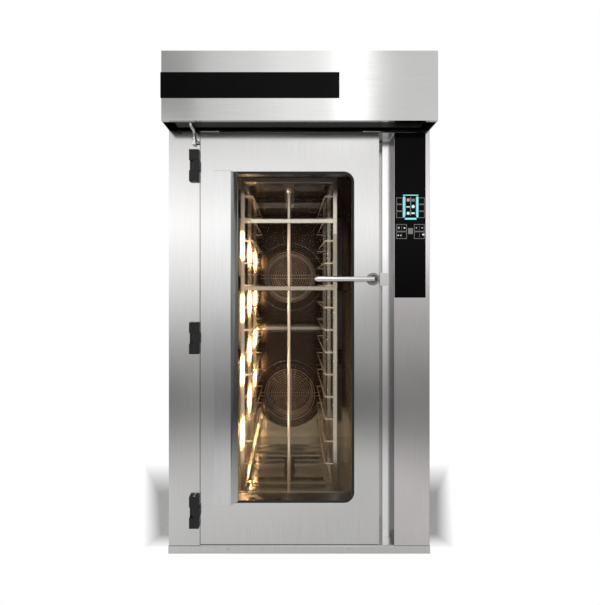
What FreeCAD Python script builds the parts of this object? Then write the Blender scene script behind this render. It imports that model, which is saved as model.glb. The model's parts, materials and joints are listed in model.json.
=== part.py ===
import FreeCAD
import Part
import Sketcher
import math
import os
from types import SimpleNamespace

from FreeCAD import Placement, Rotation, Vector

# Rotating rack oven: stainless casing 1200 mm wide with an overhanging steam hood, a left-hung
# windowed door, a wheel-in rack on a turntable, two rear fans with round guards and a control column.
# Millimetres. X runs to the right, Y to the back, Z up; the origin lies on the floor, in the middle.

doc = FreeCAD.newDocument("rotating_rack_oven")
sheet = doc.addObject("Spreadsheet::Sheet", "Dims")

SIZES = {
    # how far a cutter reaches past a face, and the play round a drilled or notched hole
    "over": 1, "hole_clear": 1,
    # casing
    "column_wide": 163, "body_high": 1947, "casing_sheet": 2,
    "plinth_high": 35, "plinth_proud": 2, "plinth_wall": 40, "seat_gap": 0.3,
    "fascia_wide": 143, "jamb_gap": 26.5, "jamb_wide": 42, "jamb_back": 48,
    "sill_thick": 5, "header_high": 12, "bracket_long": 83, "bracket_high": 6, "bracket_thick": 3,
    "bracket_drop": 1, "bracket_in": 3, "bracket_over": 7.5, "gasket_wide": 15,
    "louvre_wide": 220, "louvre_high": 12, "louvre_pitch": 50, "louvre_low": 400, "louvre_in": 150,
    "screw_radius": 5, "screw_head": 3, "screw_left": 270, "screw_right": 373, "screw_up": 20,
    # hood
    "hood_high": 303, "hood_overhang": 94, "strip_thick": 3, "strip_long": 774, "strip_low": 98,
    "strip_high": 110, "strip_wrap": 20, "hood_lip": 14, "corner_pocket": 52, "slot_deep": 25,
    # flue and damper
    "flue_radius": 75, "flue_wall": 2, "flue_up": 120, "flue_in": 330, "flue_sink": 120,
    "flue_collar": 2, "flue_collar_up": 52,
    "flange_wide": 24, "flange_thick": 3, "damper_thick": 2, "damper_rod": 4, "damper_up": 35,
    "damper_reach": 30, "damper_gap": 3, "damper_lever": 28, "damper_lever_wide": 12,
    "damper_lever_thick": 3, "damper_hole": 4.6, "turning_gap": 0.1,
    # chamber
    "chamber_wide": 841, "chamber_low": 85, "chamber_high": 1768, "chamber_sheet": 2,
    "frame_back": 100, "chamber_deep": 931, "plenum_deep": 118, "opening_side": 45, "latch_side": 32.5,
    "back_insulation": 60, "right_insulation": 80,
    "top_insulation": 75, "return_slot": 34, "return_slot_in": 26, "return_slot_end": 110,
    # fans
    "fan_up": 1296.5, "fan_down": 410, "fan_inlet": 178, "fan_radius": 168, "fan_wide": 62,
    "fan_plate": 3, "blade_thick": 3, "blade_inner": 90, "blade_inset": 2, "hub_radius": 24, "fan_shaft": 10,
    "fan_stub": 112, "wheel_gap": 12,
    "motor_radius": 75, "motor_long": 104, "motor_gap": 22, "spigot_radius": 30, "spigot_hole": 32,
    "guard_radius": 190.5, "guard_wire": 5, "guard_thick": 4, "guard_pitch": 23.5, "guard_gap": 18,
    "guard_bar": 5, "guard_bar_half": 218, "guard_bar_apart": 24, "guard_foot": 8,
    "heater_radius": 205, "heater_tube": 5, "heater_pitch": 26, "heater_leg": 16,
    # rack and rotor
    "axis_back": 545, "rack_wide": 508, "rack_deep": 620, "post_wide": 20, "rack_low": 107,
    "rack_top": 1811.5, "header_deep": 35.5, "bar_high": 20, "bar_thick": 6, "upper_bar": 1573,
    "lower_bar": 1217.6, "rear_bar": 931, "rod_radius": 8, "rod_top": 1722, "knob_radius": 15,
    "knob_flat": 9, "knob_slope": 9, "knob_high": 27,
    "guide_low": 283, "guide_pitch": 118.2, "guide_wire": 8, "guide_inward": 46,
    "shaft_radius": 15, "shaft_over": 6, "shaft_hole": 18, "shaft_flange": 42, "flange_deep": 8,
    "hook_beam": 60,
    "pivot_radius": 12, "pivot_flange": 36, "pivot_plate": 5, "pivot_high": 25, "table_hub": 32,
    "channel_long": 400, "channel_inner": 103, "channel_outer": 190, "channel_thick": 12,
    "channel_web": 3, "spine_wide": 60, "end_inner": 266, "end_outer": 302,
    "bearing_wide": 120, "bearing_thick": 20, "gearbox_wide": 170, "gearbox_high": 130,
    "drive_radius": 62, "drive_long": 230,
    # door
    "door_gap": 2, "door_lap": 30, "door_low": 42, "door_high": 1891, "door_thick": 90,
    "skin_deep": 60, "door_sheet": 2, "window_in": 117, "stile_wide": 115, "window_low": 232,
    "window_high": 1525, "window_round": 50, "glass_thick": 6, "glass_lap": 14, "spacer_wall": 12,
    "lamp_in": 70.5, "lamp_face": 74.5, "lamp_bevel": 30, "lamp_proud": 33, "lamp_low": 239,
    "lamp_high": 1512, "lamp_sheet": 2, "bevel_foot": 3, "bevel_fold": 0.8,
    "lamp_long": 150, "lamp_radius": 7, "socket_wide": 20,
    "lamp_first": 330, "lamp_pitch": 350,
    # handle and latch
    "handle_in": 29.9, "handle_up": 1262, "rose_radius": 28, "rose_thick": 12, "spindle_radius": 10,
    "lever_out": 62, "lever_reach": 259, "lever_tip": 13.5, "lever_bend": 24,
    "tip_long": 13, "tip_step": 3.5, "tip_face": 6, "latch_clear": 3,
    "cam_back": 40, "cam_thick": 8, "cam_long": 45, "cam_wide": 16, "cam_space": 54, "cam_rim": 6,
    "keeper_out": 18, "keeper_ahead": 4, "keeper_thick": 10, "keeper_high": 60,
    "keeper_root": 6, "keeper_plate": 4, "keeper_wide": 25,
    # hinges and lamp conduit
    "hinge_high": 145, "hinge_reach": 22, "hinge_span": 44, "hinge_barrel": 8, "hinge_ahead": 9,
    "plate_clear": 2, "axis_in": 23, "pin_radius": 4, "pin_gap": 0.05, "leaf_base": 5,
    "leaf_gap": 3, "leaf_tongue": 4, "tongue_deep": 40,
    "hinge_top": 1709, "hinge_mid": 920, "hinge_bottom": 125, "knuckle_gap": 0.5,
    "conduit_radius": 6, "conduit_bend": 14, "conduit_under": 7, "gland_ahead": 67, "gland_radius": 12,
    "gland_long": 12, "gland_hole": 8,
    "elbow_radius": 9, "elbow_low": 1876, "elbow_high": 22.7, "elbow_leg": 6, "leg_ahead": 2,
    "ferrule_low": 1899,
    "ferrule_long": 8, "notch_clear": 2,
    # controls
    "glass_left": 1.4, "panel_wide": 141.6, "panel_low": 1177, "panel_high": 757, "panel_thick": 4,
    "module_left": 33, "module_wide": 84, "module_low": 1440, "module_high": 230, "module_deep": 40,
    "module_lap": 6,
    # water
    "pipe_radius": 6, "pipe_in": 60, "pipe_low": 300, "valve_wide": 50, "valve_foot": 6,
    "valve_high": 60, "collar_thick": 6, "collar_wide": 8, "inlet_radius": 13.2,
    "inlet_long": 40,
}


class Size:
    """A length that carries its value and the formula that binds it to the sheet."""

    def __init__(self, value, formula):
        self.value = value
        self.formula = formula

    def join(self, sign, other, value):
        return Size(value, f"({self.formula} {sign} {as_size(other).formula})")

    def __add__(self, other):
        return self.join("+", other, self.value + as_size(other).value)

    def __sub__(self, other):
        return self.join("-", other, self.value - as_size(other).value)

    def __mul__(self, factor):
        return self.join("*", factor, self.value * as_size(factor).value)

    def __truediv__(self, factor):
        return self.join("/", factor, self.value / as_size(factor).value)

    def __rsub__(self, other):
        return as_size(other) - self

    def __neg__(self):
        return self * -1

    __radd__ = __add__
    __rmul__ = __mul__


def as_size(number):
    """A plain number is a size whose formula is itself."""
    return number if isinstance(number, Size) else Size(number, f"({number})")


for row, (alias, number) in enumerate(SIZES.items(), start=1):
    sheet.set(f"A{row}", alias)
    sheet.set(f"B{row}", str(number))
    sheet.setAlias(f"B{row}", alias)
doc.recompute()
d = SimpleNamespace(**{alias: Size(sheet.get(alias), f"Dims.{alias}") for alias in SIZES})
ZERO = as_size(0)

LOUVRES = 18
RETURN_SLOTS = 3
BLADES = 10
GUARD_RINGS = 8
RING_SIDES = 20
HEATER_RINGS = 2
BEND_SPANS = 3
NUT_SIDES = 6
CAST_SIDES = 8
TIERS = 13
LAMPS = 4

parts = {}


# ---------------------------------------------------------------- helpers
def bind(piece, prop, size):
    """Bind one property of a piece to a size."""
    piece.setExpression(prop, as_size(size).formula)


def place(piece, at):
    """Bind a piece's place to three sizes."""
    for letter, size in zip("xyz", at):
        bind(piece, f"Placement.Base.{letter}", size)


def box(name, low, high):
    """A block between two corners."""
    piece = doc.addObject("Part::Box", name)
    for prop, start, end in zip(("Length", "Width", "Height"), low, high):
        bind(piece, prop, as_size(end) - start)
    place(piece, low)
    return piece


TURNS = {"x": Rotation(Vector(0, 1, 0), 90), "y": Rotation(Vector(1, 0, 0), -90), "z": Rotation()}


def rod(name, start, radius, length, along="z"):
    """A cylinder from a start point along +X, +Y or +Z."""
    piece = doc.addObject("Part::Cylinder", name)
    bind(piece, "Radius", radius)
    bind(piece, "Height", length)
    piece.Placement = Placement(Vector(), TURNS[along])
    place(piece, start)
    return piece


def prism(name, start, sides, radius, length, along="z"):
    """A bar with a regular polygon for its section; the radius is to its corners."""
    piece = doc.addObject("Part::Prism", name)
    piece.Polygon = sides
    bind(piece, "Circumradius", radius)
    bind(piece, "Height", length)
    piece.Placement = Placement(Vector(), TURNS[along])
    place(piece, start)
    return piece


def elbow(name, centre, bend, radius, first, last):
    """A quarter bend of round bar: a ruled loft through circles from one direction to another."""
    circles = []
    level = first.cross(last)
    for step in range(BEND_SPANS + 1):
        turn = math.pi / 2 * step / BEND_SPANS
        arm = first * math.cos(turn) + last * math.sin(turn)
        heading = last * math.cos(turn) - first * math.sin(turn)
        circle = doc.addObject("Part::Circle", f"{name}_{step}")
        bind(circle, "Radius", radius)
        circle.Placement = Placement(Vector(), Rotation(level, heading.cross(level), heading, "ZXY"))
        place(circle, [as_size(middle) + bend * part_way for middle, part_way in zip(centre, arm)])
        circles.append(circle)
    loft = doc.addObject("Part::Loft", name)
    loft.Sections = circles
    loft.Solid = True
    loft.Ruled = True
    return loft


def fuse(name, pieces, smooth=True):
    """Several pieces welded into one."""
    whole = doc.addObject("Part::MultiFuse", name)
    whole.Shapes = pieces
    whole.Refine = smooth
    return whole


def group(name, pieces):
    """Separate solids that share one node."""
    whole = doc.addObject("Part::Compound", name)
    whole.Links = pieces
    return whole


def cut(name, base, tools):
    """A piece with one or more tools cut out of it."""
    tool = tools[0]
    if len(tools) > 1:
        tool = group(f"{name}_tools", tools)
    result = doc.addObject("Part::Cut", name)
    result.Base = base
    result.Tool = tool
    return result


def ring(name, low, high, hole_low, hole_high):
    """A plate with a rectangular hole right through it."""
    return cut(name, box(f"{name}_plate", low, high), [box(f"{name}_hole", hole_low, hole_high)])


def rounded(name, base, direction, radius):
    """Round the edges of a piece that run along one direction."""
    doc.recompute()
    axis = {"x": Vector(1, 0, 0), "y": Vector(0, 1, 0), "z": Vector(0, 0, 1)}[direction]
    edges = []
    for number, edge in enumerate(base.Shape.Edges, start=1):
        if isinstance(edge.Curve, Part.Line) and abs(edge.Curve.Direction.dot(axis)) > 0.999:
            edges.append((number, radius.value, radius.value))
    piece = doc.addObject("Part::Fillet", name)
    piece.Base = base
    piece.Edges = edges
    return piece


def profile(name, plane, outline, length, at):
    """A PartDesign body: a closed outline padded along the plane's normal.

    The sketch lies in the body's own plane, so its points are given from the body's place.
    """
    body = doc.addObject("PartDesign::Body", name)
    sketch = body.newObject("Sketcher::SketchObject", f"{name}_outline")
    role = {"XY": "XY_Plane", "XZ": "XZ_Plane", "YZ": "YZ_Plane"}[plane]
    face = next(item for item in body.Origin.OriginFeatures if item.Role == role)
    sketch.AttachmentSupport = [(face, "")]
    sketch.MapMode = "FlatFace"
    corners = [(as_size(across), as_size(up)) for across, up in outline]
    for number, (across, up) in enumerate(corners):
        after = corners[(number + 1) % len(corners)]
        start = Vector(across.value, up.value, 0)
        sketch.addGeometry(Part.LineSegment(start, Vector(after[0].value, after[1].value, 0)), False)
    for number in range(len(corners)):
        following = (number + 1) % len(corners)
        sketch.addConstraint(Sketcher.Constraint("Coincident", number, 2, following, 1))
    for number, (across, up) in enumerate(corners):
        hold(sketch, number, 1, across, up)
    pad = body.newObject("PartDesign::Pad", f"{name}_pad")
    pad.Profile = sketch
    bind(pad, "Length", length)
    place(body, at)
    return body


def hold(sketch, geometry, point, across, up):
    """Hold a point of a sketch at two sizes from the sketch's origin."""
    for kind, size in (("DistanceX", across), ("DistanceY", up)):
        constraint = Sketcher.Constraint(kind, -1, 1, geometry, point, size.value)
        index = sketch.addConstraint(constraint)
        bind(sketch, f"Constraints[{index}]", size)


def turned(name, outline, at, turn=None):
    """A PartDesign body turned about Z from (radius, height) points, then placed."""
    body = doc.addObject("PartDesign::Body", name)
    sketch = body.newObject("Sketcher::SketchObject", f"{name}_outline")
    face = next(item for item in body.Origin.OriginFeatures if item.Role == "XZ_Plane")
    sketch.AttachmentSupport = [(face, "")]
    sketch.MapMode = "FlatFace"
    corners = [(as_size(radius), as_size(up)) for radius, up in outline]
    for number, (radius, up) in enumerate(corners):
        after = corners[(number + 1) % len(corners)]
        start = Vector(radius.value, up.value, 0)
        sketch.addGeometry(Part.LineSegment(start, Vector(after[0].value, after[1].value, 0)), False)
    for number in range(len(corners)):
        following = (number + 1) % len(corners)
        sketch.addConstraint(Sketcher.Constraint("Coincident", number, 2, following, 1))
    for number, (radius, up) in enumerate(corners):
        hold(sketch, number, 1, radius, up)
    spin = body.newObject("PartDesign::Revolution", f"{name}_turn")
    spin.Profile = sketch
    spin.ReferenceAxis = (sketch, ["V_Axis"])
    spin.Angle = 360
    if turn is not None:
        body.Placement = Placement(Vector(), turn)
    place(body, at)
    return body


def part(node, piece):
    """Give a finished piece its node's name."""
    piece.Label = node
    parts[node] = piece
    return piece


def shift(point, across=0, back=0, up=0):
    """A point moved by three sizes."""
    return tuple(as_size(start) + step for start, step in zip(point, (across, back, up)))


# ---------------------------------------------------------------- planes that the pieces share
door_wide = d.chamber_wide - d.opening_side - d.latch_side + d.door_lap * 2
body_wide = d.fascia_wide + d.door_gap + door_wide + d.jamb_gap + d.jamb_wide + d.column_wide
front_deep = d.strip_thick + d.hood_overhang + d.frame_back
chamber_shell = d.chamber_sheet * 3 + d.chamber_deep + d.plenum_deep
total_deep = (front_deep + chamber_shell + d.back_insulation + d.motor_long + d.motor_gap
              + d.casing_sheet)
left = body_wide / -2
right = body_wide / 2
strip_face = total_deep / -2
hood_face = strip_face + d.strip_thick
front = hood_face + d.hood_overhang
rear = total_deep / 2
rear_inside = rear - d.casing_sheet
fascia_right = left + d.fascia_wide
door_left = fascia_right + d.door_gap
door_right = door_left + door_wide
jamb_left = door_right + d.jamb_gap
jamb_right = jamb_left + d.jamb_wide
jamb_face = front + d.jamb_back
door_top = d.door_low + d.door_high
door_back = front + d.door_thick
frame_face = front + d.frame_back
chamber_front = frame_face + d.chamber_sheet
opening_left = door_left + d.door_lap
chamber_left = opening_left - d.opening_side
chamber_right = chamber_left + d.chamber_wide
chamber_top = d.chamber_low + d.chamber_high
baffle_face = chamber_front + d.chamber_deep
plenum_face = baffle_face + d.chamber_sheet
plenum_back = plenum_face + d.plenum_deep
lagging_face = plenum_back + d.chamber_sheet
lagging_back = lagging_face + d.back_insulation
roof_low = chamber_top + d.chamber_sheet + d.top_insulation
roof_top = roof_low + d.casing_sheet
chamber_mid = chamber_left + d.chamber_wide / 2
axis_y = front + d.axis_back
opening_right = chamber_right - d.latch_side
left_inside = left + d.casing_sheet
right_inside = right - d.casing_sheet
hood_top = d.body_high + d.hood_high
pipe_x = chamber_right - d.pipe_in
pipe_y = plenum_face + d.plenum_deep / 2
hinge_x = fascia_right - d.axis_in
hinge_y = front - d.hinge_ahead
gland_y = front - d.gland_ahead
handle_x = door_right - d.handle_in
cam_front = front + d.cam_back
window_left = door_left + d.window_in
window_right = door_right - d.stile_wide
window_top = d.window_low + d.window_high
pane_left = window_left - d.glass_lap
pane_right = window_right + d.glass_lap
pane_low = d.window_low - d.glass_lap
pane_top = window_top + d.glass_lap
flue_x = left + d.flue_in
flue_y = rear - d.flue_in
fan_back = plenum_back - d.wheel_gap


# ---------------------------------------------------------------- base and casing
def base_frame():
    """Plinth rails under a deck; the rails are what the oven stands on."""
    low = (left - d.plinth_proud, front - d.plinth_proud, ZERO)
    high = (right + d.plinth_proud, rear, d.plinth_high)
    inner_low = shift(low, d.plinth_wall, d.plinth_wall, -d.over)
    inner_high = shift(high, -d.plinth_wall, -d.plinth_wall, -d.sill_thick)
    hollow = box("base_hollow", inner_low, inner_high)
    part("base_frame", cut("base_rails", box("base_block", low, high), [hollow]))
    heads = []
    for side, across in (("left", left + d.screw_left), ("right", right - d.screw_right)):
        start = (across, front - d.plinth_proud - d.screw_head, d.screw_up)
        heads.append(prism(f"plinth_screw_{side}", start, NUT_SIDES, d.screw_radius, d.screw_head, "y"))
    part("plinth_screws", group("plinth_screw_set", heads))


def casing():
    """Folded outer sheets: side panels, louvred rear panel, roof, fascia, jamb, header and sill."""
    top = d.body_high
    skin = d.casing_sheet
    low = (left, front + skin, d.plinth_high)
    part("side_panel_left", box("left_side", low, (left_inside, rear_inside, top)))
    part("side_panel_right", box("right_side", (right_inside, front + skin, d.plinth_high),
                                 (right, rear_inside, top)))
    slots = []
    for side, start in (("left", left + d.louvre_in), ("right", right - d.louvre_in - d.louvre_wide)):
        for number in range(LOUVRES):
            height = d.louvre_low + number * d.louvre_pitch
            corner = (start, rear_inside - d.over, height)
            slots.append(box(f"louvre_{side}_{number}", corner,
                             (start + d.louvre_wide, rear + d.over, height + d.louvre_high)))
    plate = box("rear_plate", (left, rear_inside, d.plinth_high), (right, rear, top))
    part("rear_panel", cut("rear_louvres", plate, slots))
    roof = box("roof_plate", (left_inside, frame_face, roof_low), (right_inside, rear_inside, roof_top))
    holes = top_holes("roof", roof_low - d.over, skin + d.over * 2)
    part("roof_panel", cut("roof_holes", roof, holes))
    fold = frame_face - front
    face = [(0, 0), (d.fascia_wide, 0), (d.fascia_wide, fold), (d.fascia_wide - skin, fold),
            (d.fascia_wide - skin, skin), (0, skin)]
    tall = top - d.plinth_high
    sheet_metal = profile("left_fascia", "XY", face, tall, (left, front, d.plinth_high))
    notches = [notch_for_hinge(number, low_end) for number, low_end in enumerate(hinge_lows())]
    leg = d.elbow_leg + d.notch_clear
    middle = d.elbow_low + d.elbow_high / 2
    notches.append(box("elbow_notch", (hinge_x, front - d.over, middle - leg),
                       (fascia_right + d.over, front + leg, middle + leg)))
    part("front_fascia_left", cut("fascia_notches", sheet_metal, notches))
    sill_top = d.plinth_high + d.sill_thick
    header_low = top - d.header_high
    reach = jamb_right - fascia_right
    part("door_sill", box("sill_plate", (fascia_right, front, d.plinth_high),
                          (jamb_right, frame_face, sill_top)))
    channel = [(0, 0), (fold, 0), (fold, skin), (skin, skin), (skin, d.header_high), (0, d.header_high)]
    part("front_header", profile("header_fold", "YZ", channel, reach, (fascia_right, front, header_low)))
    depth = frame_face - jamb_face
    jamb = [(0, 0), (d.jamb_wide, 0), (d.jamb_wide, skin), (skin, skin), (skin, depth), (0, depth)]
    part("door_jamb", profile("jamb_fold", "XY", jamb, header_low - sill_top,
                              (jamb_left, jamb_face, sill_top)))
    strips = []
    for side, start in (("left", door_left + d.bracket_in),
                        ("right", door_right + d.bracket_over - d.bracket_long)):
        corner = (start, front - d.bracket_thick, top - d.bracket_high - d.bracket_drop)
        strips.append(box(f"bracket_{side}", corner,
                          shift(corner, d.bracket_long, d.bracket_thick, d.bracket_high)))
    part("lintel_brackets", group("bracket_pair", strips))
    plate = ring("mouth_frame", (left_inside, frame_face, d.plinth_high),
                 (right_inside, chamber_front, roof_low),
                 (opening_left, frame_face - d.over, d.chamber_low),
                 (opening_right, chamber_front + d.over, chamber_top))
    part("door_frame", plate)
    lip = d.gasket_wide
    part("door_gasket", ring("gasket", (opening_left - lip, door_back + d.seat_gap, d.chamber_low - lip),
                             (opening_right + lip, frame_face, chamber_top + lip),
                             (opening_left, door_back, d.chamber_low),
                             (opening_right, frame_face + d.over, chamber_top)))


def hinge_lows():
    """The lower ends of the three hinges."""
    return d.hinge_bottom, d.hinge_mid, d.hinge_top


def notch_for_hinge(number, low_end):
    """A slot in the fascia's fold that a hinge tongue swings out of."""
    third = d.hinge_high / 3
    side = door_left - d.leaf_tongue - d.notch_clear
    return box(f"hinge_notch_{number}", (side, front - d.over, low_end + third - d.hole_clear),
               (fascia_right + d.over, front + d.tongue_deep + d.notch_clear,
                low_end + third * 2 + d.hole_clear))


def top_holes(name, start, length):
    """Holes for the rotor shaft and the water pipe through a layer above the chamber."""
    return [square_hole(f"{name}_shaft_hole", (chamber_mid, axis_y, start), d.shaft_hole, length),
            square_hole(f"{name}_pipe_hole", (pipe_x, pipe_y, start), d.pipe_radius + d.hole_clear, length)]


def square_hole(name, start, half, length, along="z"):
    """A square knock-out for something round, given by half its side."""
    across, back, up = (as_size(middle) for middle in start)
    if along == "z":
        return box(name, (across - half, back - half, up), (across + half, back + half, up + length))
    return box(name, (across - half, back, up - half), (across + half, back + length, up + half))


# ---------------------------------------------------------------- chamber
def chamber():
    """Stainless liner with a fan wall, wrapped in mineral wool."""
    skin = d.chamber_sheet
    outer_left = chamber_left - skin
    outer_right = chamber_right + skin
    liner = [box("liner_left", (outer_left, chamber_front, d.chamber_low),
                 (chamber_left, plenum_back, chamber_top)),
             box("liner_right", (chamber_right, chamber_front, d.chamber_low),
                 (outer_right, plenum_back, chamber_top))]
    part("chamber_walls", group("liner_pair", liner))
    part("chamber_floor", box("liner_floor", (outer_left, chamber_front, d.chamber_low - skin),
                              (outer_right, plenum_back, d.chamber_low)))
    ceiling = box("liner_ceiling", (outer_left, chamber_front, chamber_top),
                  (outer_right, plenum_back, chamber_top + skin))
    holes = top_holes("ceiling", chamber_top - d.over, skin + d.over * 2)
    part("chamber_ceiling", cut("ceiling_holes", ceiling, holes))
    wall = box("baffle_plate", (chamber_left, baffle_face, d.chamber_low),
               (chamber_right, plenum_face, chamber_top))
    holes = [rod(f"inlet_{name}", (chamber_mid, baffle_face - d.over, up), d.fan_inlet,
                 skin + d.over * 2, "y") for name, up in fans()]
    slot_long = (d.chamber_high - d.return_slot_end * (RETURN_SLOTS + 1)) / RETURN_SLOTS
    for side, start in (("left", chamber_left + d.return_slot_in),
                        ("right", chamber_right - d.return_slot_in - d.return_slot)):
        for number in range(RETURN_SLOTS):
            low_end = d.chamber_low + d.return_slot_end + number * (slot_long + d.return_slot_end)
            holes.append(box(f"return_{side}_{number}", (start, baffle_face - d.over, low_end),
                             (start + d.return_slot, plenum_face + d.over, low_end + slot_long)))
    part("fan_baffle", cut("baffle_holes", wall, holes))
    back = box("back_plate", (outer_left, plenum_back, d.chamber_low - skin),
               (outer_right, lagging_face, chamber_top + skin))
    shafts = [square_hole(f"back_hole_{name}", (chamber_mid, plenum_back - d.over, up),
                          d.fan_shaft + d.hole_clear * 2, skin + d.over * 2, "y") for name, up in fans()]
    part("plenum_back_wall", cut("back_holes", back, shafts))
    wool_left = box("wool_left", (left_inside, chamber_front, d.plinth_high),
                    (outer_left, lagging_back, roof_low))
    wool_right = box("wool_right", (outer_right, chamber_front, d.plinth_high),
                     (outer_right + d.right_insulation, lagging_back, roof_low))
    wool_floor = box("wool_floor", (outer_left, chamber_front, d.plinth_high),
                     (outer_right, lagging_face, d.chamber_low - skin))
    wool = box("back_wool", (outer_left, lagging_face, d.plinth_high),
               (outer_right, lagging_back, roof_low))
    spigots = [square_hole(f"wool_hole_{name}", (chamber_mid, lagging_face - d.over, up), d.spigot_hole,
                           d.back_insulation + d.over * 2, "y") for name, up in fans()]
    wool_back = cut("wool_back", wool, spigots)
    wool = box("top_wool", (outer_left, chamber_front, chamber_top + skin),
               (outer_right, lagging_face, roof_low))
    holes = top_holes("wool", chamber_top + skin - d.over, d.top_insulation + d.over * 2)
    wool_top = cut("wool_top", wool, holes)
    slabs = [wool_left, wool_right, wool_floor, wool_back, wool_top]
    part("chamber_insulation", group("wool_slabs", slabs))


def fans():
    """The two fans, each with its name and height."""
    return ("lower", d.fan_down), ("upper", d.fan_up)


# ---------------------------------------------------------------- hood and flue
def hood():
    """Top casing that overhangs the door and catches its steam, with a damped flue on top."""
    skin = d.casing_sheet
    collar = d.flue_radius + d.flue_collar
    shell = box("hood_block", (left, hood_face, d.body_high), (right, rear, hood_top))
    hollow = box("hood_hollow", (left_inside, hood_face + skin, d.body_high - d.over),
                 (right_inside, rear_inside, hood_top - skin))
    hole = rod("hood_flue_hole", (flue_x, flue_y, hood_top - skin - d.over), collar + d.seat_gap,
               skin + d.over * 2)
    inlet = rod("hood_inlet_hole", (pipe_x, pipe_y, hood_top - skin - d.over), d.inlet_radius + d.seat_gap,
                skin + d.over * 2)
    walls = cut("hood_walls", shell, [hollow, hole, inlet])
    lip = box("hood_front_lip", (left_inside, hood_face + skin, d.body_high),
              (right_inside, hood_face + skin + d.hood_lip, d.body_high + skin))
    part("hood_shell", fuse("hood_sheet", [walls, lip]))
    tray = box("hood_tray", (left + d.corner_pocket, hood_face + skin, d.body_high + skin),
               (right - d.corner_pocket, front - d.slot_deep, d.body_high + skin * 2))
    lead = square_hole("tray_lead_hole", (hinge_x, gland_y, d.body_high + skin - d.over), d.gland_hole,
                       skin + d.over * 2)
    part("hood_underside", cut("tray_drilled", tray, [lead]))
    strip_left = left - d.plinth_proud
    level = d.body_high + d.strip_low
    face = box("strip_face", (strip_left, strip_face, level),
               (strip_left + d.strip_long, hood_face, level + d.strip_high))
    wrap = box("strip_side", (strip_left, hood_face, level),
               (left, hood_face + d.strip_wrap, level + d.strip_high))
    part("hood_strip", fuse("strip_wrap_round", [face, wrap]))
    low = hood_top - d.flue_sink
    spigot = rod("flue_spigot", (flue_x, flue_y, low), d.flue_radius, d.flue_sink + d.flue_up)
    sleeve = rod("flue_sleeve", (flue_x, flue_y, low), collar, d.flue_sink + d.flue_collar_up)
    wide = d.flue_radius + d.flange_wide
    brim = box("flue_brim", (flue_x - wide, flue_y - wide, hood_top),
               (flue_x + wide, flue_y + wide, hood_top + d.flange_thick))
    bore = rod("flue_bore", (flue_x, flue_y, low - d.over), d.flue_radius - d.flue_wall,
               d.flue_sink + d.flue_up + d.over * 2)
    level = hood_top + d.damper_up
    start = flue_x - d.flue_radius - d.damper_reach
    pivot = prism("flue_pivot_hole", (start, flue_y, level), CAST_SIDES, d.damper_hole,
                  (d.flue_radius + d.damper_reach) * 2, "x")
    part("flue_pipe", cut("flue_bored", fuse("flue_tube", [spigot, sleeve, brim]), [bore, pivot]))
    disc = rod("damper_disc", (flue_x, flue_y - d.damper_thick / 2, level),
               d.flue_radius - d.flue_wall - d.damper_gap, d.damper_thick, "y")
    spindle = rod("damper_spindle", (start, flue_y, level), d.damper_rod,
                  d.flue_radius * 2 + d.damper_reach + d.damper_gap, "x")
    half = d.damper_lever_wide / 2
    lever = box("damper_lever_plate", (start - d.damper_lever_thick, flue_y - half, level - d.damper_lever),
                (start, flue_y + half, level + half))
    part("flue_damper", fuse("damper_welded", [disc, spindle, lever]))


# ---------------------------------------------------------------- rotor drive and water feed
def drive():
    """Bearing and worm gearmotor on the roof, pivot on the floor."""
    half = d.bearing_wide / 2
    plate = box("bearing_plate", (chamber_mid - half, axis_y - half, roof_top),
                (chamber_mid + half, axis_y + half, roof_top + d.bearing_thick))
    bore = rod("bearing_bore", (chamber_mid, axis_y, roof_top - d.over), d.shaft_radius + d.turning_gap,
               d.bearing_thick + d.over * 2)
    part("rotor_bearing", cut("bearing_bored", plate, [bore]))
    foot = roof_top + d.bearing_thick
    half = d.gearbox_wide / 2
    case = box("gear_case", (chamber_mid - half, axis_y - half, foot),
               (chamber_mid + half, axis_y + half, foot + d.gearbox_high))
    motor = rod("drive_motor", (chamber_mid, axis_y + half, foot + d.gearbox_high / 2), d.drive_radius,
                d.drive_long, "y")
    bore = rod("gear_bore", (chamber_mid, axis_y, foot - d.over), d.shaft_radius + d.turning_gap,
               d.gearbox_high + d.over * 2)
    whole = fuse("gear_and_motor", [case, motor])
    part("rotor_gearmotor", cut("gear_bored", whole, [bore]))
    half = d.pivot_flange
    plate = box("pivot_plate_flat", (chamber_mid - half, axis_y - half, d.chamber_low),
                (chamber_mid + half, axis_y + half, d.chamber_low + d.pivot_plate))
    pin = rod("pivot_pin", (chamber_mid, axis_y, d.chamber_low), d.pivot_radius, d.pivot_high)
    part("floor_pivot", fuse("pivot_welded", [plate, pin]))


def water():
    """Steam water: a valve on the roof feeds a pipe that drips on the fan wheels."""
    top = roof_top + d.valve_foot
    part("water_pipe", rod("injector", (pipe_x, pipe_y, d.pipe_low), d.pipe_radius, top - d.pipe_low))
    half = d.valve_wide / 2
    crown = top + d.valve_high
    body = box("valve_block", (pipe_x - half, pipe_y - half, top), (pipe_x + half, pipe_y + half, crown))
    bracket = box("valve_foot_block", (pipe_x + d.pipe_radius * 2, pipe_y - half, roof_top),
                  (pipe_x + half, pipe_y + half, top))
    collar_top = hood_top + d.collar_thick
    feed = rod("valve_feed", (pipe_x, pipe_y, crown), d.inlet_radius, collar_top + d.inlet_long - crown)
    collar = prism("valve_collar", (pipe_x, pipe_y, hood_top), NUT_SIDES, d.inlet_radius + d.collar_wide,
                   d.collar_thick)
    part("water_valve", fuse("valve_body", [body, bracket, feed, collar]))


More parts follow.
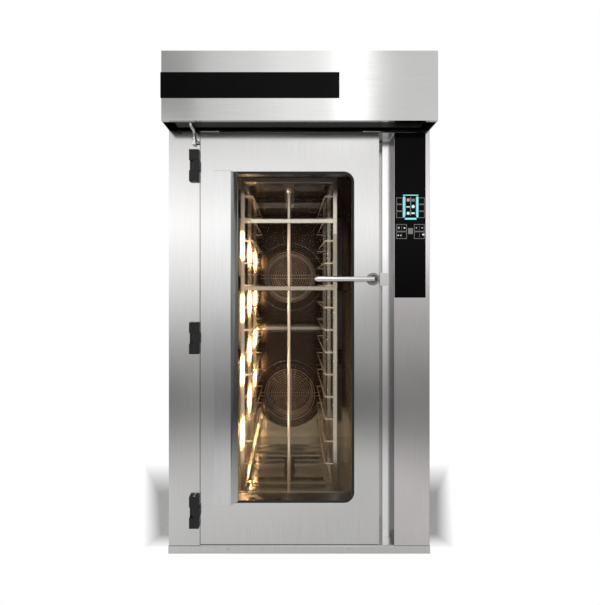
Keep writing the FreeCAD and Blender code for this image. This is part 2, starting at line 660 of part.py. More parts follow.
# ---------------------------------------------------------------- fans
def fan_set(name, up):
    """Motor, wheel, guard and heating rings of one fan; its axis runs front to back."""
    flange = lagging_face
    spigot = rod(f"{name}_spigot", (chamber_mid, flange, up), d.spigot_radius, d.back_insulation, "y")
    drum = rod(f"{name}_drum", (chamber_mid, lagging_back, up), d.motor_radius, d.motor_long, "y")
    bore = rod(f"{name}_motor_bore", (chamber_mid, flange - d.over, up), d.fan_shaft + d.turning_gap,
               d.back_insulation + d.motor_long / 2, "y")
    part(f"fan_wheel_{name}", fan_wheel(name, up))
    part(f"fan_guard_{name}", fan_guard(name, up))
    return cut(f"{name}_motor_bored", fuse(f"{name}_motor_case", [spigot, drum]), [bore])


def fan_wheel(name, up):
    """Radial wheel: back plate, hub with shaft, and a polar pattern of straight blades."""
    body = doc.addObject("PartDesign::Body", f"wheel_{name}")
    plane = next(item for item in body.Origin.OriginFeatures if item.Role == "XY_Plane")

    def pad(label, length, draw, reversed_way=False):
        sketch = body.newObject("Sketcher::SketchObject", f"{label}_{name}")
        sketch.AttachmentSupport = [(plane, "")]
        sketch.MapMode = "FlatFace"
        draw(sketch)
        feature = body.newObject("PartDesign::Pad", f"{label}_{name}_pad")
        feature.Profile = sketch
        feature.Reversed = reversed_way
        bind(feature, "Length", length)
        return feature

    def circle(radius):
        def draw(sketch):
            shape = Part.Circle(Vector(), Vector(0, 0, 1), radius.value)
            number = sketch.addGeometry(shape, False)
            sketch.addConstraint(Sketcher.Constraint("Coincident", number, 3, -1, 1))
            index = sketch.addConstraint(Sketcher.Constraint("Radius", number, radius.value))
            bind(sketch, f"Constraints[{index}]", radius)
        return draw

    def blade(sketch):
        half = d.blade_thick / 2
        tip = d.fan_radius - d.blade_inset
        corners = [(d.blade_inner, -half), (tip, -half), (tip, half), (d.blade_inner, half)]
        for number, (across, side) in enumerate(corners):
            after = corners[(number + 1) % 4]
            start = Vector(across.value, side.value, 0)
            sketch.addGeometry(Part.LineSegment(start, Vector(after[0].value, after[1].value, 0)), False)
        for number in range(4):
            sketch.addConstraint(Sketcher.Constraint("Coincident", number, 2, (number + 1) % 4, 1))
        for number, (across, side) in enumerate(corners):
            hold(sketch, number, 1, across, side)

    pad("wheel_plate", d.fan_plate, circle(d.fan_radius))
    pad("wheel_hub", d.fan_wide, circle(d.hub_radius))
    pad("wheel_shaft", d.fan_stub, circle(d.fan_shaft), True)
    first = pad("wheel_blade", d.fan_wide, blade)
    doc.recompute()
    pattern = body.newObject("PartDesign::PolarPattern", f"blade_pattern_{name}")
    pattern.Originals = [first]
    pattern.Axis = (first.Profile[0], ["N_Axis"])
    pattern.Angle = 360
    pattern.Occurrences = BLADES
    body.Tip = pattern
    body.Placement = Placement(Vector(), Rotation(Vector(1, 0, 0), 90))
    place(body, (chamber_mid, fan_back, up))
    return body


def fan_guard(name, up):
    """Round wire guard: concentric rings on two long bars with feet on the fan wall."""
    ring_y = baffle_face - d.guard_gap
    pieces = []
    for number in range(GUARD_RINGS):
        outer = d.guard_radius - number * d.guard_pitch
        disc = prism(f"{name}_ring_{number}", (chamber_mid, ring_y, up), RING_SIDES, outer,
                     d.guard_thick, "y")
        hole = prism(f"{name}_ring_hole_{number}", (chamber_mid, ring_y - d.over, up), RING_SIDES,
                     outer - d.guard_wire, d.guard_thick + d.over * 2, "y")
        pieces.append(cut(f"{name}_ring_cut_{number}", disc, [hole]))
    for level in (-1, 1):
        middle = up + level * d.guard_bar_apart / 2
        bar_y = ring_y + d.guard_thick / 2
        start = (chamber_mid - d.guard_bar_half, bar_y, middle - d.guard_bar / 2)
        pieces.append(box(f"{name}_bar_{level + 1}", start,
                          shift(start, d.guard_bar_half * 2, d.guard_bar, d.guard_bar)))
    half = d.guard_bar_apart / 2 + d.guard_bar / 2
    for side, start in (("left", chamber_mid - d.guard_bar_half),
                        ("right", chamber_mid + d.guard_bar_half - d.guard_foot)):
        pieces.append(box(f"{name}_foot_{side}", (start, ring_y + d.guard_thick / 2, up - half),
                          (start + d.guard_foot, baffle_face, up + half)))
    return fuse(f"guard_{name}", pieces)


def heaters():
    """Sheathed heating rings round each fan wheel, with a leg in the back wall."""
    elements = []
    for name, up in fans():
        pieces = []
        thick = d.heater_tube * 2
        for number in range(HEATER_RINGS):
            ring_y = plenum_back - d.heater_leg - number * d.heater_pitch - thick
            disc = prism(f"heater_disc_{name}_{number}", (chamber_mid, ring_y, up), RING_SIDES,
                         d.heater_radius + d.heater_tube, thick, "y")
            hole = prism(f"heater_hole_{name}_{number}", (chamber_mid, ring_y - d.over, up), RING_SIDES,
                         d.heater_radius - d.heater_tube, thick + d.over * 2, "y")
            pieces.append(cut(f"heater_ring_{name}_{number}", disc, [hole]))
        start = (chamber_mid + d.heater_radius - d.heater_tube, ring_y, up - d.heater_tube)
        pieces.append(box(f"heater_leg_{name}", start,
                          (chamber_mid + d.heater_radius + d.heater_tube, plenum_back,
                           up + d.heater_tube)))
        elements.append(fuse(f"heater_{name}", pieces))
    part("heating_elements", group("heater_pair", elements))


# ---------------------------------------------------------------- rack on its turntable
def turntable():
    """Hub on the floor pivot, a spine under it and two cross channels that carry the rack."""
    low = d.chamber_low + d.pivot_plate + d.seat_gap
    hub_top = d.rack_low - d.seat_gap
    hub = rod("table_hub_disc", (chamber_mid, axis_y, low), d.table_hub, hub_top - low)
    bed = d.rack_low - d.channel_thick
    half = d.spine_wide / 2
    spine = box("table_spine", (chamber_mid - half, axis_y - d.channel_outer, bed),
                (chamber_mid + half, axis_y + d.channel_outer, hub_top))
    pieces = [hub, spine]
    wide = d.channel_outer - d.channel_inner
    web = d.channel_web
    deep = d.channel_thick
    channel = [(0, 0), (web, 0), (web, deep - web), (wide - web, deep - web), (wide - web, 0),
               (wide, 0), (wide, deep), (0, deep)]
    for side, start in (("front", axis_y - d.channel_outer), ("back", axis_y + d.channel_inner)):
        corner = (chamber_mid - d.channel_long / 2, start, bed)
        pieces.append(profile(f"channel_{side}", "YZ", channel, d.channel_long, corner))
    bore = rod("table_bore", (chamber_mid, axis_y, low - d.over), d.pivot_radius + d.turning_gap,
               d.rack_low - low + d.over * 2)
    part("turntable", cut("table_bored", fuse("table_welded", pieces), [bore]))


def rack():
    """Wheel-in rack: six posts, end frames, a header with the lifting beam, crossbars and a stop rod."""
    half_wide = d.rack_wide / 2
    half_deep = d.rack_deep / 2
    low = d.rack_low
    post_top = d.rack_top - d.header_deep
    pieces = []
    for side, across in (("left", chamber_mid - half_wide), ("right", chamber_mid + half_wide - d.post_wide)):
        for place_name, back in (("front", axis_y - half_deep), ("middle", axis_y - d.post_wide / 2),
                                 ("rear", axis_y + half_deep - d.post_wide)):
            pieces.append(box(f"post_{side}_{place_name}", (across, back, low),
                              (across + d.post_wide, back + d.post_wide, post_top)))
        pieces.append(box(f"side_rail_{side}", (across, axis_y - half_deep, low),
                          (across + d.post_wide, axis_y + half_deep, low + d.bar_high)))
        pieces.append(box(f"top_rail_{side}", (across, axis_y - half_deep, post_top),
                          (across + d.post_wide, axis_y + half_deep, d.rack_top)))
    ends = (("front", axis_y - half_deep), ("rear", axis_y + half_deep - d.post_wide))
    for name, back in ends:
        pieces.append(box(f"header_{name}", (chamber_mid - half_wide, back, post_top),
                          (chamber_mid + half_wide, back + d.post_wide, d.rack_top)))
    for name, side, back in (("front", -1, axis_y - d.channel_outer + d.bar_high),
                             ("rear", 1, axis_y + d.channel_outer - d.bar_high * 2)):
        pieces.append(box(f"bearer_{name}", (chamber_mid - half_wide, back, low),
                          (chamber_mid + half_wide, back + d.bar_high, low + d.bar_thick)))
    for name, back in (("front", axis_y - d.end_outer), ("rear", axis_y + d.end_inner)):
        pieces.append(box(f"end_{name}", (chamber_mid - half_wide, back, low),
                          (chamber_mid + half_wide, back + d.end_outer - d.end_inner, low + d.bar_thick)))
    beam = d.hook_beam / 2
    pieces.append(box("hook_beam_bar", (chamber_mid - beam, axis_y - half_deep, d.rack_top - d.bar_high),
                      (chamber_mid + beam, axis_y + half_deep, d.rack_top)))
    bar_face = axis_y - half_deep
    for name, level in (("upper", d.upper_bar), ("lower", d.lower_bar)):
        pieces.append(box(f"crossbar_{name}", (chamber_mid - half_wide, bar_face, level - d.bar_high / 2),
                          (chamber_mid + half_wide, bar_face + d.bar_thick, level + d.bar_high / 2)))
    bar_back = axis_y + half_deep
    pieces.append(box("crossbar_rear", (chamber_mid - half_wide, bar_back - d.bar_thick,
                                        d.rear_bar - d.bar_high / 2),
                      (chamber_mid + half_wide, bar_back, d.rear_bar + d.bar_high / 2)))
    part("rack_frame", fuse("rack_welded", pieces, smooth=False))
    rod_y = bar_face + d.bar_thick + d.rod_radius
    stop = rod("stop_rod_bar", (chamber_mid, rod_y, low + d.bar_thick), d.rod_radius,
               d.rod_top - low - d.bar_thick)
    knob = [(0, 0), (d.knob_flat, 0), (d.knob_radius, d.knob_slope),
            (d.knob_radius, d.knob_high - d.knob_slope), (d.knob_flat, d.knob_high), (0, d.knob_high)]
    ball = turned("stop_knob", knob, (chamber_mid, rod_y, d.rod_top))
    part("tray_stop_rod", group("stop_rod_set", [stop, ball]))
    guides = [guide(side, number) for side in ("left", "right") for number in range(TIERS)]
    part("tray_guides", group("guide_set", guides))


def guide(side, number):
    """One U-shaped tray guide: a long rail with both ends bent out to the posts."""
    wire = d.guide_wire
    deep = d.rack_deep - d.post_wide + wire
    wide = d.guide_inward
    outline = [(0, 0), (wide, 0), (wide, deep), (0, deep), (0, deep - wire), (wide - wire, deep - wire),
               (wide - wire, wire), (0, wire)]
    across = chamber_mid - d.rack_wide / 2 + d.post_wide
    if side == "right":
        outline = [(-across_point, back) for across_point, back in outline]
        across = chamber_mid + d.rack_wide / 2 - d.post_wide
    corner = (across, axis_y - deep / 2, d.guide_low + number * d.guide_pitch)
    return profile(f"guide_{side}_{number}", "XY", outline, wire, corner)


def rotor_shaft():
    """Driven shaft with a flange that carries the rack's lifting beam."""
    low = d.rack_top + d.seat_gap
    top = roof_top + d.bearing_thick + d.gearbox_high + d.shaft_over
    outline = [(0, 0), (d.shaft_flange, 0), (d.shaft_flange, d.flange_deep),
               (d.shaft_radius, d.flange_deep), (d.shaft_radius, top - low), (0, top - low)]
    part("rotor_shaft", turned("shaft_and_flange", outline, (chamber_mid, axis_y, low)))


# ---------------------------------------------------------------- door
def door():
    """Two folded pans, mineral wool, double glazing, and a lamp housing over the window's left edge."""
    skin = d.door_sheet
    fold = front + d.skin_deep
    hole = window("skin_window", front - d.over, skin + d.over * 2)
    outer = box("skin_block", (door_left, front, d.door_low), (door_right, fold, door_top))
    hollow = box("skin_hollow", (door_left + skin, front + skin, d.door_low + skin),
                 (door_right - skin, fold + d.over, door_top - skin))
    latch_slot = box("latch_slot",
                     (door_right - skin - d.over, cam_front - d.latch_clear, d.handle_up - d.cam_space),
                     (door_right + d.over, cam_front + d.cam_thick + d.latch_clear, d.handle_up + d.cam_wide))
    spindle_hole = square_hole("skin_spindle_hole", (handle_x, front - d.over, d.handle_up),
                               d.spindle_radius + d.hole_clear, skin + d.over * 2, "y")
    part("door_skin", cut("skin_pressed", outer, [hollow, hole, latch_slot, spindle_hole]))
    pan = box("pan_block", (door_left, fold, d.door_low), (door_right, door_back, door_top))
    hollow = box("pan_hollow", (door_left + skin, fold - d.over, d.door_low + skin),
                 (door_right - skin, door_back - skin, door_top - skin))
    hole = window("pan_window", door_back - skin - d.over, skin + d.over * 2)
    part("door_pan", cut("pan_pressed", pan, [hollow, hole]))
    back = door_back - skin
    wool = box("door_wool", (door_left + skin, front + skin, d.door_low + skin),
               (door_right - skin, back, door_top - skin))
    well = box("wool_window", (pane_left, front, pane_low), (pane_right, door_back, pane_top))
    pocket = box("wool_pocket", (handle_x - d.cam_space / 2, front, d.handle_up - d.cam_space),
                 (door_right, cam_front + d.cam_thick + d.latch_clear, d.handle_up + d.cam_wide))
    part("door_insulation", cut("door_wool_cut", wool, [well, pocket]))
    glass = d.glass_thick
    part("door_glass_outer", box("outer_pane", (pane_left, front + skin, pane_low),
                                 (pane_right, front + skin + glass, pane_top)))
    part("door_glass_inner", box("inner_pane", (pane_left, back - glass, pane_low),
                                 (pane_right, back, pane_top)))
    wall = d.spacer_wall
    part("glass_spacer", ring("spacer", (pane_left, front + skin + glass, pane_low),
                              (pane_right, back - glass, pane_top),
                              (pane_left + wall, front, pane_low + wall),
                              (pane_right - wall, door_back, pane_top - wall)))


def window(name, start, deep):
    """The window's outline with its rounded corners, as a cutter."""
    block = box(name, (window_left, start, d.window_low), (window_right, start + deep, window_top))
    return rounded(f"{name}_round", block, "y", d.window_round)


def lamps():
    """Lamp profile: flat face, left wall and a 45 degree bevel, with tube lamps behind it."""
    sheet_metal = d.lamp_sheet
    face = d.lamp_face
    proud = d.lamp_proud
    outline = [(0, 0), (0, -proud), (face, -proud), (face + d.lamp_bevel, 0),
               (face + d.lamp_bevel - d.bevel_foot, 0), (face - d.bevel_fold, sheet_metal - proud),
               (sheet_metal, sheet_metal - proud), (sheet_metal, 0)]
    start = door_left + d.lamp_in
    shell = profile("lamp_fold", "XY", outline, d.lamp_high, (start, front, d.lamp_low))
    caps = []
    cap = [(0, 0), (0, -proud), (face, -proud), (face + d.lamp_bevel, 0)]
    for name, level in (("low", d.lamp_low), ("high", d.lamp_low + d.lamp_high - sheet_metal)):
        caps.append(profile(f"lamp_cap_{name}", "XY", cap, sheet_metal, (start, front, level)))
    part("lamp_housing", fuse("lamp_shell", [shell] + caps))
    sockets = []
    tubes = []
    half = d.socket_wide / 2
    middle = start + sheet_metal + half
    for number in range(LAMPS):
        level = d.lamp_first + number * d.lamp_pitch
        for end, base in (("low", level - d.socket_wide), ("high", level + d.lamp_long)):
            sockets.append(box(f"socket_{number}_{end}", (middle - half, front - proud + sheet_metal, base),
                               (middle + half, front - d.seat_gap, base + d.socket_wide)))
        tubes.append(rod(f"lamp_{number}", (middle, front - proud / 2, level), d.lamp_radius, d.lamp_long))
    part("door_lamps", group("lamp_set", sockets + tubes))


def handle():
    """Rose, and a turning lever on a spindle whose cam swings out behind the keeper."""
    bore = d.spindle_radius + d.turning_gap
    outline = [(bore, 0), (d.rose_radius, 0), (d.rose_radius, d.rose_thick), (bore, d.rose_thick)]
    outward = Rotation(Vector(1, 0, 0), 90)
    part("handle_rose", turned("rose_turned", outline, (handle_x, front, d.handle_up), outward))
    elbow_y = front - d.lever_out + d.lever_bend
    spindle = rod("spindle", (handle_x, elbow_y, d.handle_up), d.spindle_radius,
                  cam_front + d.cam_thick - elbow_y, "y")
    corner = (handle_x - d.lever_bend, elbow_y, d.handle_up)
    knee = elbow("lever_knee", corner, d.lever_bend, d.spindle_radius, Vector(1, 0, 0), Vector(0, -1, 0))
    long = d.lever_reach - d.lever_bend
    grip = [(0, 0), (d.spindle_radius, 0), (d.lever_tip, long),
            (d.lever_tip - d.tip_step, long + d.tip_long / 2), (d.tip_face, long + d.tip_long),
            (0, long + d.tip_long)]
    lever = turned("lever_grip", grip, (handle_x - d.lever_bend, front - d.lever_out, d.handle_up),
                   Rotation(Vector(0, 1, 0), -90))
    part("handle_lever", fuse("lever_forged", [spindle, knee, lever]))
    half = d.cam_wide / 2
    hub = rod("cam_hub", (handle_x, cam_front, d.handle_up), half + d.cam_rim, d.cam_thick, "y")
    nose = box("cam_nose", (handle_x - half, cam_front, d.handle_up - d.cam_long),
               (handle_x + half, cam_front + d.cam_thick, d.handle_up))
    eye = rod("cam_eye", (handle_x, cam_front - d.over, d.handle_up), d.spindle_radius + d.pin_gap,
              d.cam_thick + d.over * 2, "y")
    part("latch_cam", cut("cam_bored", fuse("cam_blank", [hub, nose]), [eye]))
    low = d.handle_up - d.keeper_high / 2
    arm_back = cam_front - d.keeper_ahead
    arm = box("keeper_arm", (jamb_left - d.keeper_out, arm_back - d.keeper_thick, low),
              (jamb_left + d.keeper_root, arm_back, low + d.keeper_high))
    stem = box("keeper_stem", (jamb_left, arm_back - d.keeper_thick, low),
               (jamb_left + d.keeper_root, jamb_face, low + d.keeper_high))
    foot = box("keeper_foot", (jamb_left, jamb_face - d.keeper_plate, low),
               (jamb_left + d.keeper_wide, jamb_face, low + d.keeper_high))
    part("latch_keeper", fuse("keeper_bracket", [arm, stem, foot]))


def hinges():
    """Three block hinges: fixed base with two knuckles, a leaf that wraps the door's edge, and a pin."""
    bases = []
    leaves = []
    pins = []
    third = d.hinge_high / 3
    block_left = hinge_x - d.hinge_reach
    proud = d.hinge_ahead + d.hinge_barrel
    for number, low in enumerate(hinge_lows()):
        plate = box(f"hinge_plate_{number}", (block_left, front - d.leaf_base, low),
                    (hinge_x - d.hinge_barrel - d.plate_clear, front, low + d.hinge_high))
        pieces = [plate]
        for end, start in (("low", low), ("high", low + third * 2)):
            pieces.append(box(f"knuckle_{number}_{end}", (block_left, front - proud, start),
                              (block_left + d.hinge_span, front, start + third)))
        bore = rod(f"base_bore_{number}", (hinge_x, hinge_y, low - d.over), d.pin_radius + d.pin_gap,
                   d.hinge_high + d.over * 2)
        bases.append(cut(f"hinge_base_{number}", fuse(f"hinge_block_{number}", pieces), [bore]))
        start = low + third + d.knuckle_gap
        high = low + third * 2 - d.knuckle_gap
        barrel = rod(f"leaf_barrel_{number}", (hinge_x, hinge_y, start), d.hinge_barrel, high - start)
        arm = box(f"leaf_arm_{number}", (hinge_x, hinge_y - d.hinge_barrel, start),
                  (door_left, front - d.leaf_gap, high))
        tongue = box(f"leaf_tongue_{number}", (door_left - d.leaf_tongue, front - proud, start),
                     (door_left, front + d.tongue_deep, high))
        bore = rod(f"leaf_bore_{number}", (hinge_x, hinge_y, start - d.over), d.pin_radius + d.pin_gap,
                   high - start + d.over * 2)
        leaves.append(cut(f"hinge_leaf_{number}", fuse(f"leaf_{number}", [barrel, arm, tongue]), [bore]))
        pins.append(rod(f"hinge_pin_{number}", (hinge_x, hinge_y, low), d.pin_radius, d.hinge_high))
    part("hinge_blocks", group("hinge_block_set", bases))
    part("hinge_leaves", group("hinge_leaf_set", leaves))
    part("hinge_pins", group("hinge_pin_set", pins))


def conduit():
    """Armoured lead to the door lamps: from a gland in the hood, over the door, into a swivel on its axis."""
    bend = d.conduit_bend
    level = d.body_high - d.conduit_under
    tray_top = d.body_high + d.casing_sheet * 2
    gland = prism("gland_nut", (hinge_x, gland_y, tray_top), NUT_SIDES, d.gland_radius, d.gland_long)
    rise = rod("conduit_rise", (hinge_x, gland_y, level + bend), d.conduit_radius,
               tray_top + d.gland_long - level - bend)
    turn = elbow("conduit_turn", (hinge_x, gland_y + bend, level + bend), bend, d.conduit_radius,
                 Vector(0, -1, 0), Vector(0, 0, -1))
    run = rod("conduit_run", (hinge_x, gland_y + bend, level), d.conduit_radius,
              hinge_y - gland_y - bend * 2, "y")
    fall = elbow("conduit_fall", (hinge_x, hinge_y - bend, level - bend), bend, d.conduit_radius,
                 Vector(0, 0, 1), Vector(0, 1, 0))
    drop = rod("conduit_drop", (hinge_x, hinge_y, d.ferrule_low), d.conduit_radius,
               level - bend - d.ferrule_low)
    ferrule = prism("conduit_ferrule", (hinge_x, hinge_y, d.ferrule_low), NUT_SIDES, d.elbow_radius,
                    d.ferrule_long)
    part("lamp_conduit", fuse("conduit_bent", [gland, rise, turn, run, fall, drop, ferrule]))
    body = prism("elbow_body", (hinge_x, hinge_y, d.elbow_low), CAST_SIDES, d.elbow_radius,
                 d.ferrule_low - d.seat_gap - d.elbow_low)
    middle = d.elbow_low + d.elbow_high / 2
    leg = prism("elbow_leg_tube", (hinge_x, front - d.leg_ahead, middle), CAST_SIDES, d.elbow_leg,
                door_left - hinge_x, "x")
    part("conduit_swivel", fuse("elbow_cast", [body, leg]))


# ---------------------------------------------------------------- controls
def controls():
    """Tall column beside the door with a black glass panel and the display module behind it."""
    skin = d.casing_sheet
    wide = right - jamb_right
    fold = frame_face - front
    outline = [(0, 0), (wide, 0), (wide, skin), (skin, skin), (skin, fold), (0, fold)]
    sheet_metal = profile("column_fold", "XY", outline, d.body_high - d.plinth_high,
                          (jamb_right, front, d.plinth_high))
    low = (jamb_right + d.module_left, front, d.module_low)
    high = shift(low, d.module_wide, d.module_deep, d.module_high)
    lap = d.module_lap
    opening = box("module_opening", shift(low, lap, -d.over, lap), shift(high, -lap, 0, -lap))
    part("control_column", cut("column_opened", sheet_metal, [opening]))
    glass_left = jamb_right + d.glass_left
    part("control_glass", box("panel_pane", (glass_left, front - d.panel_thick, d.panel_low),
                              (glass_left + d.panel_wide, front, d.panel_low + d.panel_high)))
    part("display_module", box("module_case", shift(low, 0, skin, 0), high))


# ---------------------------------------------------------------- build, check and write
def build():
    """Make every piece, check it and write it."""
    base_frame()
    casing()
    chamber()
    hood()
    drive()
    water()
    part("fan_motors", group("motor_pair", [fan_set(name, up) for name, up in fans()]))
    heaters()
    turntable()
    rack()
    rotor_shaft()
    door()
    lamps()
    handle()
    hinges()
    conduit()
    controls()
    doc.recompute()
    for piece in doc.Objects:
        if "Invalid" in piece.State or "Error" in piece.State:
            raise RuntimeError(f"{piece.Name} failed: {piece.State}")
    unsound = [node for node, piece in parts.items()
               if piece.Shape.isNull() or not piece.Shape.isValid() or not piece.Shape.Solids]
    if unsound:
        raise RuntimeError(f"not sound solids: {unsound}")
    os.makedirs("parts", exist_ok=True)
    for node, piece in parts.items():
        piece.Shape.exportStep(f"parts/{node}.step")
    print(f"{len(parts)} sub-parts written")


build()
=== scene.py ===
# %% [markdown]
# # A rotating rack oven
# The real oven is a tall stainless cabinet with a steam hood, a glazed door and a wheel-in rack.
# Its pieces come from the imported frame at their real size. This file gives them their finishes and
# adds the fine wires, seals, painted shade strips, screws and display marks that a solid model leaves
# plain.

# %% Load the frame
import json
import math

import bmesh
import bpy
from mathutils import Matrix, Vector


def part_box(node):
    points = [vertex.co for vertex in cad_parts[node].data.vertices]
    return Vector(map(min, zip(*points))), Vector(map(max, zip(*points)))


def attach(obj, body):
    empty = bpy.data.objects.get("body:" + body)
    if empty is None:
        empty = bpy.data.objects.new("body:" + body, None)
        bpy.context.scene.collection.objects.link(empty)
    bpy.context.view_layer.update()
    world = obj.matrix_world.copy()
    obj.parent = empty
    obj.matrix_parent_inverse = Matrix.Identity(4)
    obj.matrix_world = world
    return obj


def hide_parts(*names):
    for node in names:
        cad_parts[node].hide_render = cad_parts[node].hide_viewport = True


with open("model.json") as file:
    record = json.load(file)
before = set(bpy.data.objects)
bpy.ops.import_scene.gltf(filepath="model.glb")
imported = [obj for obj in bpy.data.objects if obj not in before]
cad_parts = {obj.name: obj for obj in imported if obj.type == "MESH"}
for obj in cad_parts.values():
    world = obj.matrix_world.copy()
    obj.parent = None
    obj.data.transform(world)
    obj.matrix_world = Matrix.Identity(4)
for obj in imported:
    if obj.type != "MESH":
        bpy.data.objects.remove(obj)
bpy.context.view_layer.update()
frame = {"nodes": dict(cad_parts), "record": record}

# %% [markdown]

# %% [markdown]
# ## Planes that everything is placed from
# A fitter would measure every added piece from a face that is already there. The same is done here:
# most places below are read from a node of the frame, and small details are set off from those
# faces by sizes that are named where they are used.

# %% Shared planes
MILLIMETRE = 0.001
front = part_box("door_skin")[0][1]
fan_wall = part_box("fan_baffle")[0][1]
panel_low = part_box("control_glass")[0]


def middle(node):
    """The centre of a node's box."""
    low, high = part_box(node)
    return [(low[axis] + high[axis]) / 2 for axis in range(3)]


print("front plane", round(front, 4), "fan wall", round(fan_wall, 4))

# %% [markdown]
# ## The camera
# The photograph was taken straight on, from a little over half the oven's height and from close by,
# so the hood's underside and the chamber's floor both show. A short lens gives that strong
# perspective. Two small shifts put the oven where it stands in the picture without tilting it.

# %% Camera
EYE_ACROSS = -0.033
EYE_UP = 1.235
EYE_AWAY = 1.590
LENS = 20.57
SHIFT_ACROSS = 0.0132
SHIFT_UP = -0.0289
camera_data = bpy.data.cameras.new("camera")
camera_data.lens = LENS
camera_data.shift_x = SHIFT_ACROSS
camera_data.shift_y = SHIFT_UP
camera = bpy.data.objects.new("camera", camera_data)
camera.location = (EYE_ACROSS, front - EYE_AWAY, EYE_UP)
camera.rotation_euler = (math.radians(90), 0, 0)
bpy.context.scene.collection.objects.link(camera)
bpy.context.scene.camera = camera
bpy.context.scene.view_settings.view_transform = "Standard"
print("camera at", tuple(round(part, 3) for part in camera.location))

# %% [markdown]
# ## Small node helpers
# Every material below is a short recipe: a noise, a range, a product. These helpers place the nodes
# of one step and return what they put out, so that a recipe reads as a line of arithmetic.

# %% Node helpers
NOISE_LOW = 0.3
NOISE_HIGH = 0.7


def arithmetic(tree, operation, first, second):
    """One sum of two values; each may be a number or another node's output."""
    node = tree.nodes.new("ShaderNodeMath")
    node.operation = operation
    for socket, value in zip(node.inputs, (first, second)):
        if isinstance(value, bpy.types.NodeSocket):
            tree.links.new(value, socket)
        else:
            socket.default_value = value
    return node.outputs[0]


def times(tree, first, second):
    """The product of two values."""
    return arithmetic(tree, "MULTIPLY", first, second)


def minus(tree, first, second):
    """The first value less the second."""
    return arithmetic(tree, "SUBTRACT", first, second)


def spread(tree, source, low, high, to_low, to_high):
    """Map one range of a value to another, and hold it at both ends."""
    node = tree.nodes.new("ShaderNodeMapRange")
    node.inputs["From Min"].default_value = low
    node.inputs["From Max"].default_value = high
    node.inputs["To Min"].default_value = to_low
    node.inputs["To Max"].default_value = to_high
    tree.links.new(source, node.inputs["Value"])
    return node.outputs["Result"]


def between(tree, share, low, high):
    """A value between two others, by a share of the second."""
    rest = minus(tree, 1.0, share)
    return arithmetic(tree, "ADD", times(tree, share, high), times(tree, rest, low))


def noise_node(tree, scale, detail, roughness=0.5):
    """A noise texture that lies still on its own piece."""
    place = tree.nodes.new("ShaderNodeTexCoord")
    node = tree.nodes.new("ShaderNodeTexNoise")
    node.inputs["Scale"].default_value = scale
    node.inputs["Detail"].default_value = detail
    node.inputs["Roughness"].default_value = roughness
    tree.links.new(place.outputs["Object"], node.inputs["Vector"])
    return node


def noise_range(tree, noise, low, high):
    """Map the middle of a noise, where nearly all of it lies, to a range."""
    return spread(tree, noise.outputs["Fac"], NOISE_LOW, NOISE_HIGH, low, high)


def axes(tree, kind="Object"):
    """The X, Y and Z of a texture coordinate."""
    place = tree.nodes.new("ShaderNodeTexCoord")
    parts = tree.nodes.new("ShaderNodeSeparateXYZ")
    tree.links.new(place.outputs[kind], parts.inputs[0])
    return parts.outputs


def blended(tree, kind, share, first, second):
    """Two colours mixed; each may be a plain colour or another node's output."""
    mix = tree.nodes.new("ShaderNodeMix")
    mix.data_type = "RGBA"
    mix.blend_type = kind
    for socket, value in zip((mix.inputs[0], mix.inputs[6], mix.inputs[7]), (share, first, second)):
        if isinstance(value, bpy.types.NodeSocket):
            tree.links.new(value, socket)
        else:
            socket.default_value = value if isinstance(value, float) else (*value, 1)
    return mix.outputs[2]


print("node helpers ready")

# %% [markdown]
# ## Node groups that several finishes share
# Sheet steel is brushed in long strokes, so its grain is a noise that is squeezed across the strokes
# and stretched along them. Handling leaves broad soft marks that change only the gloss. Both are
# used by many finishes, so each is one shader node group with named sockets.

# %% Grain and handling marks
def start_group(name, inputs, outputs):
    """Make a node group with the given sockets and return it with its two end nodes."""
    tree = bpy.data.node_groups.new(name, "ShaderNodeTree")
    for label, kind, value in inputs:
        socket = tree.interface.new_socket(name=label, in_out="INPUT", socket_type=kind)
        socket.default_value = value
    for label, kind in outputs:
        tree.interface.new_socket(name=label, in_out="OUTPUT", socket_type=kind)
    return tree, tree.nodes.new("NodeGroupInput"), tree.nodes.new("NodeGroupOutput")


def ranged(tree, source, start, low, high):
    """Map a noise to a range whose two ends are sockets of the group."""
    node = tree.nodes.new("ShaderNodeMapRange")
    node.inputs["From Min"].default_value = NOISE_LOW
    node.inputs["From Max"].default_value = NOISE_HIGH
    tree.links.new(source, node.inputs["Value"])
    tree.links.new(start.outputs[low], node.inputs["To Min"])
    tree.links.new(start.outputs[high], node.inputs["To Max"])
    return node.outputs["Result"]


def make_grain_group():
    """Brushing strokes: Stretch says how fine they are along each axis."""
    tree, start, end = start_group(
        "brush_grain",
        [("Stretch", "NodeSocketVector", (900, 900, 6)), ("Shade Low", "NodeSocketFloat", 0.9),
         ("Shade High", "NodeSocketFloat", 1.06)],
        [("Shade", "NodeSocketFloat"), ("Height", "NodeSocketFloat")])
    place = tree.nodes.new("ShaderNodeTexCoord")
    squeeze = tree.nodes.new("ShaderNodeVectorMath")
    squeeze.operation = "MULTIPLY"
    tree.links.new(place.outputs["Object"], squeeze.inputs[0])
    tree.links.new(start.outputs["Stretch"], squeeze.inputs[1])
    noise = noise_node(tree, 1.0, 4, 0.6)
    tree.links.new(squeeze.outputs["Vector"], noise.inputs["Vector"])
    shade = ranged(tree, noise.outputs["Fac"], start, "Shade Low", "Shade High")
    tree.links.new(shade, end.inputs["Shade"])
    tree.links.new(noise.outputs["Fac"], end.inputs["Height"])
    return tree


